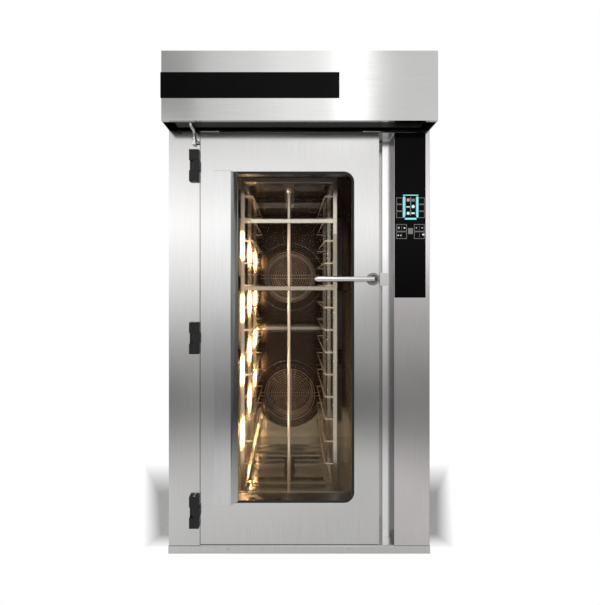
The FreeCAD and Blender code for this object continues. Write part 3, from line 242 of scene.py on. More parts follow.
def make_marks_group():
    """Wiping and handling marks: broad soft patches that dull or clear the gloss."""
    tree, start, end = start_group(
        "handling_marks",
        [("Patch Scale", "NodeSocketFloat", 3.0), ("Rough Low", "NodeSocketFloat", 0.2),
         ("Rough High", "NodeSocketFloat", 0.34)],
        [("Rough", "NodeSocketFloat"), ("Patch", "NodeSocketFloat")])
    noise = noise_node(tree, 3.0, 1, 0.4)
    tree.links.new(start.outputs["Patch Scale"], noise.inputs["Scale"])
    rough = ranged(tree, noise.outputs["Fac"], start, "Rough Low", "Rough High")
    tree.links.new(rough, end.inputs["Rough"])
    tree.links.new(noise.outputs["Fac"], end.inputs["Patch"])
    return tree


grain_group = make_grain_group()
marks_group = make_marks_group()
print("shared groups:", grain_group.name, marks_group.name)

# %% [markdown]
# ## Metal finishes
# One function builds every metal: a colour, a gloss range, the direction of the strokes and how deep
# they are. The colour is multiplied by the stroke shade, and a very small bump bends the reflections.
# Fully metallic steel shows only what it mirrors, which inside the oven is very little. So the wires,
# the guards and the liner are made less metallic than real steel, and take the soft light as well.

# %% Metal builder
def new_finish(name):
    """A material with an empty node tree around one shader."""
    finish = bpy.data.materials.new(name)
    finish.use_nodes = True
    tree = finish.node_tree
    return finish, tree, tree.nodes["Principled BSDF"]


def add_group(tree, group, **values):
    """Place a shared group in a material and set its sockets."""
    node = tree.nodes.new("ShaderNodeGroup")
    node.node_tree = group
    for label, value in values.items():
        node.inputs[label.replace("_", " ")].default_value = value
    return node


def bump(tree, shader, height, depth, strength=0.4):
    """Bend the shader's reflections by a height."""
    node = tree.nodes.new("ShaderNodeBump")
    node.inputs["Strength"].default_value = strength
    node.inputs["Distance"].default_value = depth
    tree.links.new(height, node.inputs["Height"])
    tree.links.new(node.outputs["Normal"], shader.inputs["Normal"])


def metal(name, colour, rough, stretch, depth=0.00002, shade=(0.94, 1.05), patch=3.0, bare=1.0):
    """A brushed or polished metal; with bare below 1 it takes soft light as well as mirroring."""
    finish, tree, shader = new_finish(name)
    shader.inputs["Metallic"].default_value = bare
    grain = add_group(tree, grain_group, Stretch=stretch, Shade_Low=shade[0], Shade_High=shade[1])
    marks = add_group(tree, marks_group, Patch_Scale=patch, Rough_Low=rough[0], Rough_High=rough[1])
    base = colour(tree) if callable(colour) else colour
    tint = blended(tree, "MULTIPLY", 1.0, base, grain.outputs["Shade"])
    tree.links.new(tint, shader.inputs["Base Color"])
    tree.links.new(marks.outputs["Rough"], shader.inputs["Roughness"])
    bump(tree, shader, grain.outputs["Height"], depth)
    return finish


UPRIGHT = (700, 700, 5)
LEVEL = (5, 700, 700)
ROUND = (300, 300, 300)
sheet_steel = metal("brushed_sheet", (0.62, 0.615, 0.605), (0.16, 0.22), UPRIGHT)
hood_steel = metal("brushed_hood", (0.61, 0.615, 0.60), (0.10, 0.16), LEVEL)
profile_steel = metal("lamp_profile_steel", (0.61, 0.615, 0.61), (0.14, 0.2), UPRIGHT)
# The hood's underside: steel coloured near black, painted shade for the shadow under the hood.
tray_painted_shade = metal("hood_tray_painted_shade", (0.030, 0.030, 0.031), (0.25, 0.34), LEVEL)
# The door jamb: the same sheet steel coloured lighter, a painted highlight so the post shows bright.
jamb_painted_highlight = metal("jamb_sheet_painted_highlight", (0.86, 0.845, 0.85), (0.16, 0.22), UPRIGHT)
column_steel = metal("column_sheet", (0.63, 0.602, 0.60), (0.16, 0.22), UPRIGHT)
# The handle's rose: turned steel coloured near black, painted shade so it shows dark.
rose_painted_shade = metal("turned_rose_painted_shade", (0.12, 0.118, 0.115), (0.22, 0.34), ROUND)
wire_steel = metal("bright_wire", (0.78, 0.70, 0.61), (0.14, 0.24), ROUND, bare=0.7)
rack_steel = metal("rack_bars", (0.70, 0.65, 0.58), (0.12, 0.22), UPRIGHT, bare=0.9)
guard_wire = metal("guard_wire", (0.72, 0.59, 0.53), (0.2, 0.3), ROUND, bare=0.35)
turned_steel = metal("turned_steel", (0.74, 0.73, 0.71), (0.14, 0.22), ROUND)
zinc_sheet = metal("galvanised_sheet", (0.46, 0.48, 0.50), (0.35, 0.5), (40, 40, 40), shade=(0.88, 1.1))
cast_metal = metal("cast_housing", (0.30, 0.31, 0.33), (0.45, 0.6), (150, 150, 150))
flue_steel = metal("flue_sheet", (0.50, 0.50, 0.49), (0.25, 0.36), UPRIGHT)
brass = metal("machined_brass", (0.72, 0.55, 0.26), (0.2, 0.35), ROUND)
# The fan wheels: steel coloured near black, painted shade for the dark behind the guards.
fan_steel = metal("fan_sheet_painted_shade", (0.035, 0.03, 0.025), (0.2, 0.34), ROUND)
print("plain metals made")

# %% [markdown]
# ## Steel that has been hot
# A liner that is heated every day goes straw, then brown, where it is hottest: high up and round the
# fans. Low down, away from the fans, it stays grey. The tint is worked out from the height above
# the floor and, on the fan wall, from the distance to the lower fan, so the border runs close to
# where the photo shows it.

# %% Heat-tinted liner
BROWN = (0.044, 0.027, 0.017)
GREY = (0.80, 0.77, 0.68)
DULL_GREY = (0.50, 0.43, 0.35)
BACK_TINT = (0.24, 0.31)
SIDE_TINT = (0.25, 1.35)
DISH_RADIUS = 254 * MILLIMETRE
DISH_EDGE = 4 * MILLIMETRE


def fan_centre(level):
    """The middle of one fan guard, across and up."""
    centre = middle("fan_guard_" + level)
    return centre[0], centre[2]


def hot_above(tree, tint):
    """One where the steel is brown for its height, and the place it was worked out from."""
    place = axes(tree)
    return spread(tree, place["Z"], *tint, 0.0, 1.0), place


def liner_colour(tree):
    """Brown high up and inside the lower fan's dish, grey low down."""
    high_up, place = hot_above(tree, BACK_TINT)
    across, up = fan_centre("lower")
    side = minus(tree, place["X"], across)
    rise = minus(tree, place["Z"], up)
    squares = arithmetic(tree, "ADD", times(tree, side, side), times(tree, rise, rise))
    away = arithmetic(tree, "SQRT", squares, 0.0)
    in_dish = spread(tree, away, DISH_RADIUS - DISH_EDGE, DISH_RADIUS, 1.0, 0.0)
    return blended(tree, "MIX", arithmetic(tree, "MAXIMUM", high_up, in_dish), GREY, BROWN)


def wall_colour(tree):
    """Brown high up, grey near the floor."""
    return blended(tree, "MIX", hot_above(tree, SIDE_TINT)[0], DULL_GREY, BROWN)


CALM = 0.000003
LINER_GLOSS = (0.07, 0.14)
LINER_SHADE = (0.94, 1.06)
liner_steel = metal("heat_tinted_liner", liner_colour, LINER_GLOSS, LEVEL, CALM, LINER_SHADE, bare=0.62)
wall_steel = metal("liner_wall_steel", wall_colour, LINER_GLOSS, UPRIGHT, CALM, LINER_SHADE, bare=0.5)
floor_steel = metal("liner_floor_steel", (0.52, 0.49, 0.43), (0.10, 0.18), LEVEL, CALM, (0.95, 1.05),
                    bare=0.7)
table_steel = metal("turntable_steel", (0.50, 0.48, 0.44), (0.12, 0.2), LEVEL, CALM)
print("liner tinted")

# %% [markdown]
# ## Black, glass, rubber and wool
# The dark pieces differ in gloss: the hood strip and the control panel mirror the room a little, the
# hinge blocks are moulded and dull. The window has four glass faces. With every ray bent at each of
# them the chamber came out speckled, so most rays pass straight through and only the rest are bent
# and mirrored. The index of refraction is lower than real glass has, because a higher one laid a
# grey veil over the chamber. Shadow rays all pass.

# %% Dark and clear finishes
def dark(name, colour, rough, scale, depth, specular=0.5):
    """A black moulded or painted finish with a fine surface."""
    finish, tree, shader = new_finish(name)
    noise = noise_node(tree, scale, 3)
    tree.links.new(noise_range(tree, noise, *rough), shader.inputs["Roughness"])
    tint = noise_range(tree, noise, 0.85, 1.15)
    tree.links.new(blended(tree, "MULTIPLY", 1.0, colour, tint), shader.inputs["Base Color"])
    shader.inputs["Specular IOR Level"].default_value = specular
    bump(tree, shader, noise.outputs["Fac"], depth, 0.3)
    return finish


UNBENT = 0.92
GLASS_INDEX = 1.16
GLASS_TINT = (0.97, 0.97, 0.96)
THROUGH_TINT = (0.985, 0.988, 0.982, 1)


def mix_shaders(tree, share, first, second):
    """Send a mix of two shaders to the surface, by a share of the second."""
    choose = tree.nodes.new("ShaderNodeMixShader")
    for socket, value in zip(choose.inputs, (share, first, second)):
        tree.links.new(value, socket)
    tree.links.new(choose.outputs["Shader"], tree.nodes["Material Output"].inputs["Surface"])


def clear_glass():
    """Door glass, nearly colourless: most rays pass straight through, and all shadow rays do."""
    finish, tree, shader = new_finish("door_glass")
    shader.inputs["Transmission Weight"].default_value = 1.0
    shader.inputs["IOR"].default_value = GLASS_INDEX
    shader.inputs["Roughness"].default_value = 0.0
    tint = noise_range(tree, noise_node(tree, 4.0, 3), 0.97, 1.0)
    tree.links.new(blended(tree, "MULTIPLY", 1.0, GLASS_TINT, tint), shader.inputs["Base Color"])
    through = tree.nodes.new("ShaderNodeBsdfTransparent")
    through.inputs["Color"].default_value = THROUGH_TINT
    path = tree.nodes.new("ShaderNodeLightPath")
    straight = arithmetic(tree, "MAXIMUM", path.outputs["Is Shadow Ray"], UNBENT)
    mix_shaders(tree, straight, shader.outputs["BSDF"], through.outputs["BSDF"])
    return finish


def glowing(name, colour, strength, scale=40.0):
    """A lit surface with a slight unevenness."""
    finish, tree, shader = new_finish(name)
    tint = noise_range(tree, noise_node(tree, scale, 2), 0.85, 1.0)
    lit = blended(tree, "MULTIPLY", 1.0, colour, tint)
    tree.links.new(lit, shader.inputs["Emission Color"])
    shader.inputs["Base Color"].default_value = (*[part * 0.2 for part in colour], 1)
    shader.inputs["Emission Strength"].default_value = strength
    shader.inputs["Roughness"].default_value = 0.3
    return finish


gloss_black = dark("gloss_black_strip", (0.004, 0.004, 0.0045), (0.12, 0.2), 12, 0.00002, specular=0.04)
panel_black = dark("panel_glass", (0.003, 0.0022, 0.0024), (0.05, 0.10), 8, 0.00001, specular=0.04)
hinge_black = dark("moulded_hinge", (0.010, 0.010, 0.011), (0.4, 0.55), 900, 0.0001, specular=0.3)
silicone = dark("silicone_seal", (0.012, 0.012, 0.013), (0.45, 0.6), 400, 0.0001, specular=0.3)
module_black = dark("module_case", (0.03, 0.03, 0.035), (0.45, 0.6), 700, 0.0001)
wool = dark("mineral_wool", (0.55, 0.48, 0.30), (0.85, 0.95), 120, 0.002)
door_glass = clear_glass()
lamp_glow = glowing("lamp_glass", (1.0, 0.70, 0.36), 5.0)
print("dark, clear and lit finishes made")

# %% [markdown]
# ## Dressing the nodes
# The record names a material slot for every node. Most nodes simply take their slot's finish; a few
# share a slot but look different in the photo, such as the hood, whose strokes run level.

# %% Finishes by slot
finish_of = {
    "stainless": sheet_steel, "lamp_profile": profile_steel, "galvanised": zinc_sheet,
    "chamber_steel": wall_steel, "wire_steel": wire_steel, "turned_steel": turned_steel,
    "black_gloss": gloss_black, "black_glass": panel_black, "clear_glass": door_glass,
    "black_cast": hinge_black, "silicone": silicone, "mineral_wool": wool, "fan_steel": fan_steel,
    "motor_casting": cast_metal, "valve_brass": brass, "lamp_glass": lamp_glow,
    "module_plastic": module_black,
}
finish_of_node = {
    "hood_shell": hood_steel, "hood_underside": tray_painted_shade, "chamber_floor": floor_steel,
    "control_column": column_steel, "door_jamb": jamb_painted_highlight, "fan_baffle": liner_steel,
    "rack_frame": rack_steel, "turntable": table_steel, "handle_rose": rose_painted_shade,
    "flue_pipe": flue_steel, "flue_damper": flue_steel,
}
slot_of = {item["node"]: item["material_slot"] for item in frame["record"]["subparts"]}


def dress(node, piece):
    """Give a node its finish."""
    finish = finish_of_node.get(node, finish_of[slot_of[node]])
    for place in piece.material_slots:
        place.material = finish
    if not piece.material_slots:
        piece.data.materials.append(finish)


for node, piece in frame["nodes"].items():
    dress(node, piece)
print(len(frame["nodes"]), "nodes dressed")

# %% [markdown]
# ## Folded edges
# A folded sheet never has a knife edge: the fold has a radius, and it is this narrow round that
# catches a line of light on every corner of the cabinet. The solids have sharp corners, so each
# sheet gets a bevel modifier that touches only its sharp edges.

# %% Rounded folds
SOFT_FOLD = 1.5 * MILLIMETRE
FINE_FOLD = 0.6 * MILLIMETRE
SHARP = math.radians(40)


def round_folds(node, width):
    """Bevel the sharp edges of a node and keep its flat faces flat."""
    piece = frame["nodes"][node]
    weld = piece.modifiers.new("weld", "WELD")
    weld.merge_threshold = 0.00001
    bevel = piece.modifiers.new("folds", "BEVEL")
    bevel.width = width
    bevel.segments = 2
    bevel.limit_method = "ANGLE"
    bevel.angle_limit = SHARP
    bevel.harden_normals = True


for node in ("side_panel_left", "side_panel_right", "front_fascia_left", "hood_shell", "door_sill",
             "door_skin", "control_column", "lamp_housing", "roof_panel", "base_frame"):
    round_folds(node, SOFT_FOLD)
for node in ("hinge_blocks", "hinge_leaves", "handle_rose", "lintel_brackets", "hood_strip",
             "control_glass", "door_jamb", "rack_frame", "front_header"):
    round_folds(node, FINE_FOLD)
print("folds rounded")

# %% [markdown]
# ## A wire bender
# Fan guards, tray guides and armoured conduit are all round wire on a path. A curve with a round
# bevel gives a true tube at every bend, where boxes would show flat sides. One helper takes a path
# and a wire size and makes the tube into a mesh; another hangs a mesh on the body that carries it.

# %% Wires as mesh tubes
def add_mesh(name, mesh, body, finish):
    """Put a mesh in the scene, dress it and let it ride on a body."""
    piece = bpy.data.objects.new(name, mesh)
    bpy.context.scene.collection.objects.link(piece)
    mesh.materials.clear()
    mesh.materials.append(finish)
    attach(piece, body)
    return piece


def smooth(mesh):
    """Shade every face of a mesh smooth."""
    for face in mesh.polygons:
        face.use_smooth = True
    return mesh


def tube_mesh(name, paths, radius, sides=3, closed=False):
    """The mesh of one round tube along each path."""
    curve = bpy.data.curves.new("wire_path", "CURVE")
    curve.dimensions = "3D"
    curve.bevel_depth = radius
    curve.bevel_resolution = sides
    curve.use_fill_caps = not closed
    for path in paths:
        spline = curve.splines.new("POLY")
        spline.points.add(len(path) - 1)
        for point, place in zip(spline.points, path):
            point.co = (*place, 1)
        spline.use_cyclic_u = closed
    holder = bpy.data.objects.new("wire_holder", curve)
    bpy.context.scene.collection.objects.link(holder)
    bpy.context.view_layer.update()
    mesh = bpy.data.meshes.new_from_object(holder.evaluated_get(bpy.context.evaluated_depsgraph_get()))
    bpy.data.objects.remove(holder)
    mesh.name = name
    return smooth(mesh)


def circle_path(centre, radius, steps=72, first=(1, 0, 0), second=(0, 0, 1)):
    """Points round a circle that lies along two directions; it faces the door unless told otherwise."""
    turns = (2 * math.pi * step / steps for step in range(steps))
    return [tuple(centre[axis] + radius * (math.cos(turn) * first[axis] + math.sin(turn) * second[axis])
                  for axis in range(3)) for turn in turns]


def mesh_of(name, shape):
    """The mesh of a shape that was being edited, which is let go."""
    mesh = bpy.data.meshes.new(name)
    shape.to_mesh(mesh)
    shape.free()
    return mesh


def join(name, meshes):
    """Several meshes as one."""
    shape = bmesh.new()
    for mesh in meshes:
        shape.from_mesh(mesh)
    return mesh_of(name, shape)


def block(name, low, high):
    """A plain block between two corners, as a mesh."""
    shape = bmesh.new()
    bmesh.ops.create_cube(shape, size=1.0)
    for corner in shape.verts:
        corner.co = Vector([(low[axis] + high[axis]) / 2 + corner.co[axis] * (high[axis] - low[axis])
                            for axis in range(3)])
    return mesh_of(name, shape)


print("wire helpers ready")

# %% [markdown]
# ## Fan guards
# Each fan breathes in through a round wire guard on the back wall. Its rings are thin round wires,
# close enough to keep fingers and trays out, welded to two long straight wires that carry the guard.
# The solid has flat rings, fewer of them and further apart. Here they are wires, and two uprights
# as tall as the outer ring join them, a guess at how such a guard is held together.

# %% Fan guards
GUARD_WIRES = 11
GUARD_WIRE_RADIUS = 1.6 * MILLIMETRE
BAR_APART = 12 * MILLIMETRE
FOOT_SHORT = GUARD_WIRE_RADIUS / 10


def fan_guard(level):
    """A guard of round wires in the place of the solid one."""
    node = "fan_guard_" + level
    low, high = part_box(node)
    across, up = fan_centre(level)
    ring_y = low[1] + GUARD_WIRE_RADIUS
    outer = (high[2] - low[2]) / 2 - GUARD_WIRE_RADIUS
    pitch = outer / (GUARD_WIRES + 0.5)
    rings = [circle_path((across, ring_y, up), outer - pitch * number) for number in range(GUARD_WIRES)]
    bar_y = ring_y + 2 * GUARD_WIRE_RADIUS
    first = low[0] + GUARD_WIRE_RADIUS
    last = high[0] - GUARD_WIRE_RADIUS
    foot = high[1] - FOOT_SHORT
    bars = []
    for side in (-1, 1):
        height = up + side * BAR_APART
        bars.append([(first, foot, height), (first, bar_y, height), (last, bar_y, height),
                     (last, foot, height)])
        upright = across + side * BAR_APART
        bars.append([(upright, bar_y, up - outer), (upright, bar_y, up + outer)])
    mesh = join(node + "_wires", [tube_mesh("rings", rings, GUARD_WIRE_RADIUS, closed=True),
                                  tube_mesh("bars", bars, GUARD_WIRE_RADIUS)])
    piece = add_mesh(node + "_wires", smooth(mesh), "oven", guard_wire)
    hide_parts(node)
    return pitch


guard_pitch = [fan_guard(level) for level in ("upper", "lower")]
print("guards with", GUARD_WIRES, "rings, pitch", [round(pitch * 1000, 1) for pitch in guard_pitch], "mm")

# %% [markdown]
# ## The inlet dish
# Round each guard the back wall is pressed into a shallow dish that guides the air. In the photo it
# shows only as a bright arc. A ring of very low rounded section does the same.

# %% Pressed rings round the fan inlets
DISH_HIGH = 2.2 * MILLIMETRE
for level in ("upper", "lower"):
    across, up = fan_centre(level)
    rim = tube_mesh("dish", [circle_path((across, fan_wall, up), DISH_RADIUS, 96)], DISH_HIGH, closed=True)
    add_mesh("inlet_dish_" + level, rim, "oven", table_steel)
print("dishes pressed")

# %% [markdown]
# ## Tray guides
# A tray slides in on two round wires, one on each side. Every wire is bent outwards at both ends and
# welded to the rack's posts. The solid guides are square with sharp corners, so round wires with
# real bends take their place, at the same levels.

# %% Tray guides
TIERS = 13
GUIDE_RADIUS = 4 * MILLIMETRE
GUIDE_BEND = 14 * MILLIMETRE
GUIDE_REACH = 46 * MILLIMETRE
BEND_STEPS = 4


def guide_path(post, rail, near, far, height):
    """From the post inwards, along the rail and out again, with a round bend at both corners."""
    way = 1 if rail > post else -1
    path = [(post, near, height)]
    for centre_y, start in ((near + GUIDE_BEND, -90), (far - GUIDE_BEND, 0)):
        for step in range(BEND_STEPS + 1):
            turn = math.radians(start + 90 * step / BEND_STEPS)
            path.append((rail - way * GUIDE_BEND + way * GUIDE_BEND * math.cos(turn),
                         centre_y + GUIDE_BEND * math.sin(turn), height))
    return path + [(post, far, height)]


def tray_guides():
    """Both columns of guides, spaced as the solid ones are."""
    low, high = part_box("tray_guides")
    pitch = (high[2] - low[2] - 2 * GUIDE_RADIUS) / (TIERS - 1)
    inward = (high[0] - low[0]) / 2
    reach = GUIDE_REACH - GUIDE_RADIUS
    near, far = low[1] + GUIDE_RADIUS, high[1] - GUIDE_RADIUS
    paths = []
    for side in (-1, 1):
        post = middle("tray_guides")[0] + side * inward
        for number in range(TIERS):
            height = low[2] + GUIDE_RADIUS + number * pitch
            paths.append(guide_path(post, post - side * reach, near, far, height))
    mesh = tube_mesh("tray_guide_wires", paths, GUIDE_RADIUS)
    piece = add_mesh("tray_guide_wires", mesh, "rotor", wire_steel)
    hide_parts("tray_guides")
    return pitch


print("guides every", round(tray_guides() * 1000, 1), "mm")

# %% [markdown]
# ## The window's black border
# A glazed door hides the edge of its glass behind a printed black border, which also covers the
# bonded seam. It follows the opening's rounded corners and shows as a thin dark line inside them.

# %% Window border
BORDER_WIDE = 11 * MILLIMETRE
BORDER_THICK = 0.4 * MILLIMETRE
BORDER_LAP = 14 * MILLIMETRE
CORNER_RADIUS = 50 * MILLIMETRE
CORNER_STEPS = 8


def rounded_outline(low_x, high_x, low_z, high_z, radius):
    """Points round a rectangle with round corners."""
    points = []
    corners = ((high_x - radius, low_z + radius, -90), (high_x - radius, high_z - radius, 0),
               (low_x + radius, high_z - radius, 90), (low_x + radius, low_z + radius, 180))
    for centre_x, centre_z, start in corners:
        for step in range(CORNER_STEPS + 1):
            turn = math.radians(start + 90 * step / CORNER_STEPS)
            points.append((centre_x + radius * math.cos(turn), centre_z + radius * math.sin(turn)))
    return points


def border_mesh(outer, inner, near, far):
    """A flat frame between two outlines of as many points, from one depth to another."""
    count = len(outer)
    rows = [[(across, depth, up) for across, up in outline]
            for outline, depth in ((outer, near), (inner, near), (inner, far), (outer, far))]
    faces = []
    for row in range(4):
        after = (row + 1) % 4
        for number in range(count):
            following = (number + 1) % count
            faces.append((row * count + number, row * count + following,
                          after * count + following, after * count + number))
    mesh = bpy.data.meshes.new("border")
    mesh.from_pydata([point for row in rows for point in row], [], faces)
    mesh.validate()
    return mesh


def window_border():
    """The border on the outer pane, just inside the opening of the door skin."""
    pane_low, pane_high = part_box("door_glass_outer")
    left, right = pane_low[0] + BORDER_LAP, pane_high[0] - BORDER_LAP
    foot, top = pane_low[2] + BORDER_LAP, pane_high[2] - BORDER_LAP
    outer = rounded_outline(left, right, foot, top, CORNER_RADIUS)
    inner = rounded_outline(left + BORDER_WIDE, right - BORDER_WIDE, foot + BORDER_WIDE,
                            top - BORDER_WIDE, CORNER_RADIUS - BORDER_WIDE)
    mesh = border_mesh(outer, inner, pane_low[1] - BORDER_THICK, pane_low[1])
    return add_mesh("window_border", mesh, "door", silicone)


print("border", window_border().name)

# %% [markdown]
# ## Display, keys and lamps on the glass panel
# The control panel is one sheet of black glass. Behind it a small screen shines through, framed in
# cyan, with touch fields round it: three beside each side of the screen and four pairs below. Their
# grey outlines are painted light: they glow faintly, where real print would only take the room's light.
# Nothing on it is written: the fields are plain outlines and the signs are plain shapes.

# %% Finishes of the marks
cyan_glow = glowing("screen_frame", (0.22, 0.85, 0.86), 1.0)
white_glow = glowing("screen_sign", (0.75, 0.80, 0.80), 1.0)
warm_glow = glowing("screen_sign_warm", (0.55, 0.25, 0.22), 1.0)
teal_glow = glowing("screen_sign_teal", (0.25, 0.55, 0.56), 1.0)
# The grey outlines glow: painted light in place of print that reflects.
outline_glow_grey = glowing("glowing_outline", (0.16, 0.155, 0.15), 1.0)
print("marks finished")

# %% [markdown]
# Every mark is a very thin plate on the face of the glass. Its place is given from the panel's left
# edge and from its foot, as a printer's drawing would give it.

# %% Marks on the glass
MARK_THICK = 0.3 * MILLIMETRE
LINE = 2.2 * MILLIMETRE


def mark(across, up, wide, high):
    """One thin plate on the glass, from its lower left corner, in millimetres."""
    left = panel_low[0] + across * MILLIMETRE
    foot = panel_low[2] + up * MILLIMETRE
    face = panel_low[1]
    return block("mark", (left, face - MARK_THICK, foot),
                 (left + wide * MILLIMETRE, face, foot + high * MILLIMETRE))


def outline(across, up, wide, high):
    """Four thin lines round a field."""
    line = LINE / MILLIMETRE
    return [mark(across, up, wide, line), mark(across, up + high - line, wide, line),
            mark(across, up, line, high), mark(across + wide - line, up, line, high)]


def disc(across, up, radius):
    """A round dot on the glass."""
    centre = (panel_low[0] + across * MILLIMETRE, panel_low[1] - MARK_THICK,
              panel_low[2] + up * MILLIMETRE)
    points = circle_path(centre, radius * MILLIMETRE, 16)
    mesh = bpy.data.meshes.new("dot")
    mesh.from_pydata(points, [], [tuple(range(len(points)))])
    return mesh


def print_marks(name, meshes, finish):
    """All marks of one colour as one piece."""
    add_mesh(name, join(name, meshes), "oven", finish)


KEY_LEFT = 7
KEY_RIGHT = 107.5
FIELD_WIDE = 30
FIELD_HIGH = 30
FIELD_ROWS = (366, 397.5, 429)
PAIR_WIDE = 48
PAIR_RIGHT = 88.5
PAIR_ROWS = (270, 304)
PAIR_HIGH = 33
SCREEN_LEFT = 38
SCREEN_RIGHT = 99.5
SCREEN_FOOT = 358
SCREEN_HIGH = 106
SCREEN_BAR = 8.5
SCREEN_SIDE_LIFT = 10
SCREEN_TOP_GAP = 4
SCREEN_TOP_BAR = 4
SCREEN_FOOT_BAR = 8
DIVIDER_IN = 7
DIVIDER_WIDE = 1.2
outlines = []
for foot in FIELD_ROWS:
    outlines += outline(KEY_LEFT, foot, FIELD_WIDE, FIELD_HIGH)
    outlines += outline(KEY_RIGHT, foot, FIELD_WIDE, FIELD_HIGH)
for foot in PAIR_ROWS:
    for left in (KEY_LEFT, PAIR_RIGHT):
        outlines += outline(left, foot, PAIR_WIDE, PAIR_HIGH)
        outlines.append(mark(left + PAIR_WIDE / 2, foot + DIVIDER_IN, DIVIDER_WIDE,
                             PAIR_HIGH - 2 * DIVIDER_IN))
# The touch fields' outlines glow faintly: painted light in place of print.
print_marks("touch_fields", outlines, outline_glow_grey)
side_foot = SCREEN_FOOT + SCREEN_SIDE_LIFT
side_high = SCREEN_HIGH - SCREEN_SIDE_LIFT
across_all = SCREEN_RIGHT + SCREEN_BAR - SCREEN_LEFT
across_inside = SCREEN_RIGHT - SCREEN_LEFT - SCREEN_BAR
bars = [mark(SCREEN_LEFT, side_foot, SCREEN_BAR, side_high),
        mark(SCREEN_RIGHT, side_foot, SCREEN_BAR, side_high),
        mark(SCREEN_LEFT, SCREEN_FOOT + SCREEN_HIGH + SCREEN_TOP_GAP, across_all, SCREEN_TOP_BAR),
        mark(SCREEN_LEFT + SCREEN_BAR, SCREEN_FOOT, across_inside, SCREEN_FOOT_BAR)]
print_marks("screen_frame", bars, cyan_glow)
print("touch fields", len(FIELD_ROWS) * 2 + len(PAIR_ROWS) * 4)

# %% [markdown]
# The six signs on the screen and those on the lower fields are plain discs, bars and squares: in
# the photo they are too small to read, and only their size and brightness count.

# %% Signs
SIGN_COLUMNS = (61.5, 84.5)
SIGN_ROWS = (448, 418, 387)
SIGN_LEFT = 8
LOWER_BARS = ((126, 286, 11, 7), (41, 317, 7, 5), (15, 316, 2, 9), (19, 316, 2, 9))
LOWER_DOTS = ((27, 286, 2.5), (16, 286, 3), (99, 320, 2.5), (126, 320, 2.5))
LOWER_SQUARE = (61, 292, 22, 27)
TEAL_LINES = ((48, 2), (97, 2), (72, 1.5))
TEAL_FOOT = 376
TEAL_HIGH = 84
first_column, second_column = SIGN_COLUMNS
top_row, middle_row, low_row = SIGN_ROWS
white_signs = [mark(first_column - SIGN_LEFT, middle_row - 4, 15, 5), disc(first_column, low_row, 7),
               mark(second_column - SIGN_LEFT, low_row - 3, 15, 7), disc(second_column, middle_row, 7.5)]
white_signs += [mark(*sizes) for sizes in LOWER_BARS] + [disc(*sizes) for sizes in LOWER_DOTS]
warm_signs = [disc(first_column, top_row, 8)]
grey_signs = [mark(*LOWER_SQUARE), mark(second_column - SIGN_LEFT, top_row - 7, 16, 13)]
teal_signs = [mark(across, TEAL_FOOT, wide, TEAL_HIGH) for across, wide in TEAL_LINES]
print_marks("signs_white", white_signs, white_glow)
print_marks("signs_warm", warm_signs, warm_glow)
print_marks("signs_grey", grey_signs, outline_glow_grey)
print_marks("signs_teal", teal_signs, teal_glow)
print("signs", len(white_signs) + len(warm_signs) + len(grey_signs))

# %% [markdown]
# ## Screw heads
# A few screws are visible: at the inner end of each lintel bracket, and under the hood's right-hand
# corner. A fourth one under the left-hand corner matches it. Each is the upper half of a ball,
# pressed flat into a low dome and turned to face away from its sheet.

# %% Screws
HEAD_RADIUS = 2.8 * MILLIMETRE
HEAD_HIGH = 1.6 * MILLIMETRE
BRACKET_LONG = 83 * MILLIMETRE
HOOD_SCREW_IN = 49 * MILLIMETRE
HOOD_SCREW_BACK = 8 * MILLIMETRE


def screw_head(centre, outward):
    """A low dome on a face, pointing outward."""
    shape = bmesh.new()
    bmesh.ops.create_uvsphere(shape, u_segments=20, v_segments=10, radius=HEAD_RADIUS)
    turn = Vector((0, 0, 1)).rotation_difference(Vector(outward)).to_matrix()
    for corner in shape.verts:
        corner.co.z = max(corner.co.z, 0.0) * HEAD_HIGH / HEAD_RADIUS
        corner.co = turn @ corner.co + Vector(centre)
    return smooth(mesh_of("screw_head", shape))


bracket_low, bracket_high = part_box("lintel_brackets")
hood_low, hood_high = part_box("hood_shell")
bracket_up = middle("lintel_brackets")[2]
inset = BRACKET_LONG - 2 * HEAD_RADIUS
hood_y = hood_low[1] + HOOD_SCREW_BACK
heads = [screw_head((bracket_low[0] + inset, bracket_low[1], bracket_up), (0, -1, 0)),
         screw_head((bracket_high[0] - inset, bracket_low[1], bracket_up), (0, -1, 0)),
         screw_head((hood_high[0] - HOOD_SCREW_IN, hood_y, hood_low[2]), (0, 0, -1)),
         screw_head((hood_low[0] + HOOD_SCREW_IN, hood_y, hood_low[2]), (0, 0, -1))]
add_mesh("fixing_screws", join("fixing_screws", heads), "oven", turned_steel)
print(len(heads), "screws set")

# %% [markdown]
# ## Armour on the lamp lead
# The lead to the door lamps runs in an armoured hose: a steel band wound so that each turn grips the
# last. The solid is a smooth tube. Fine rings along its straight lengths and bends give it the ribs.

# %% Hose ribs
RIB_PITCH = 3.2 * MILLIMETRE
RIB_RADIUS = 0.7 * MILLIMETRE
HOSE_RADIUS = 6 * MILLIMETRE
BEND = 14 * MILLIMETRE
GLAND_RADIUS = 12 * MILLIMETRE
RUN_HEIGHT = 1.940
DROP_RIBS = 4
RIB_SIDES = 20
lead_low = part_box("lamp_conduit")[0]
axis_x, axis_y, _ = middle("hinge_pins")
gland_y = lead_low[1] + GLAND_RADIUS


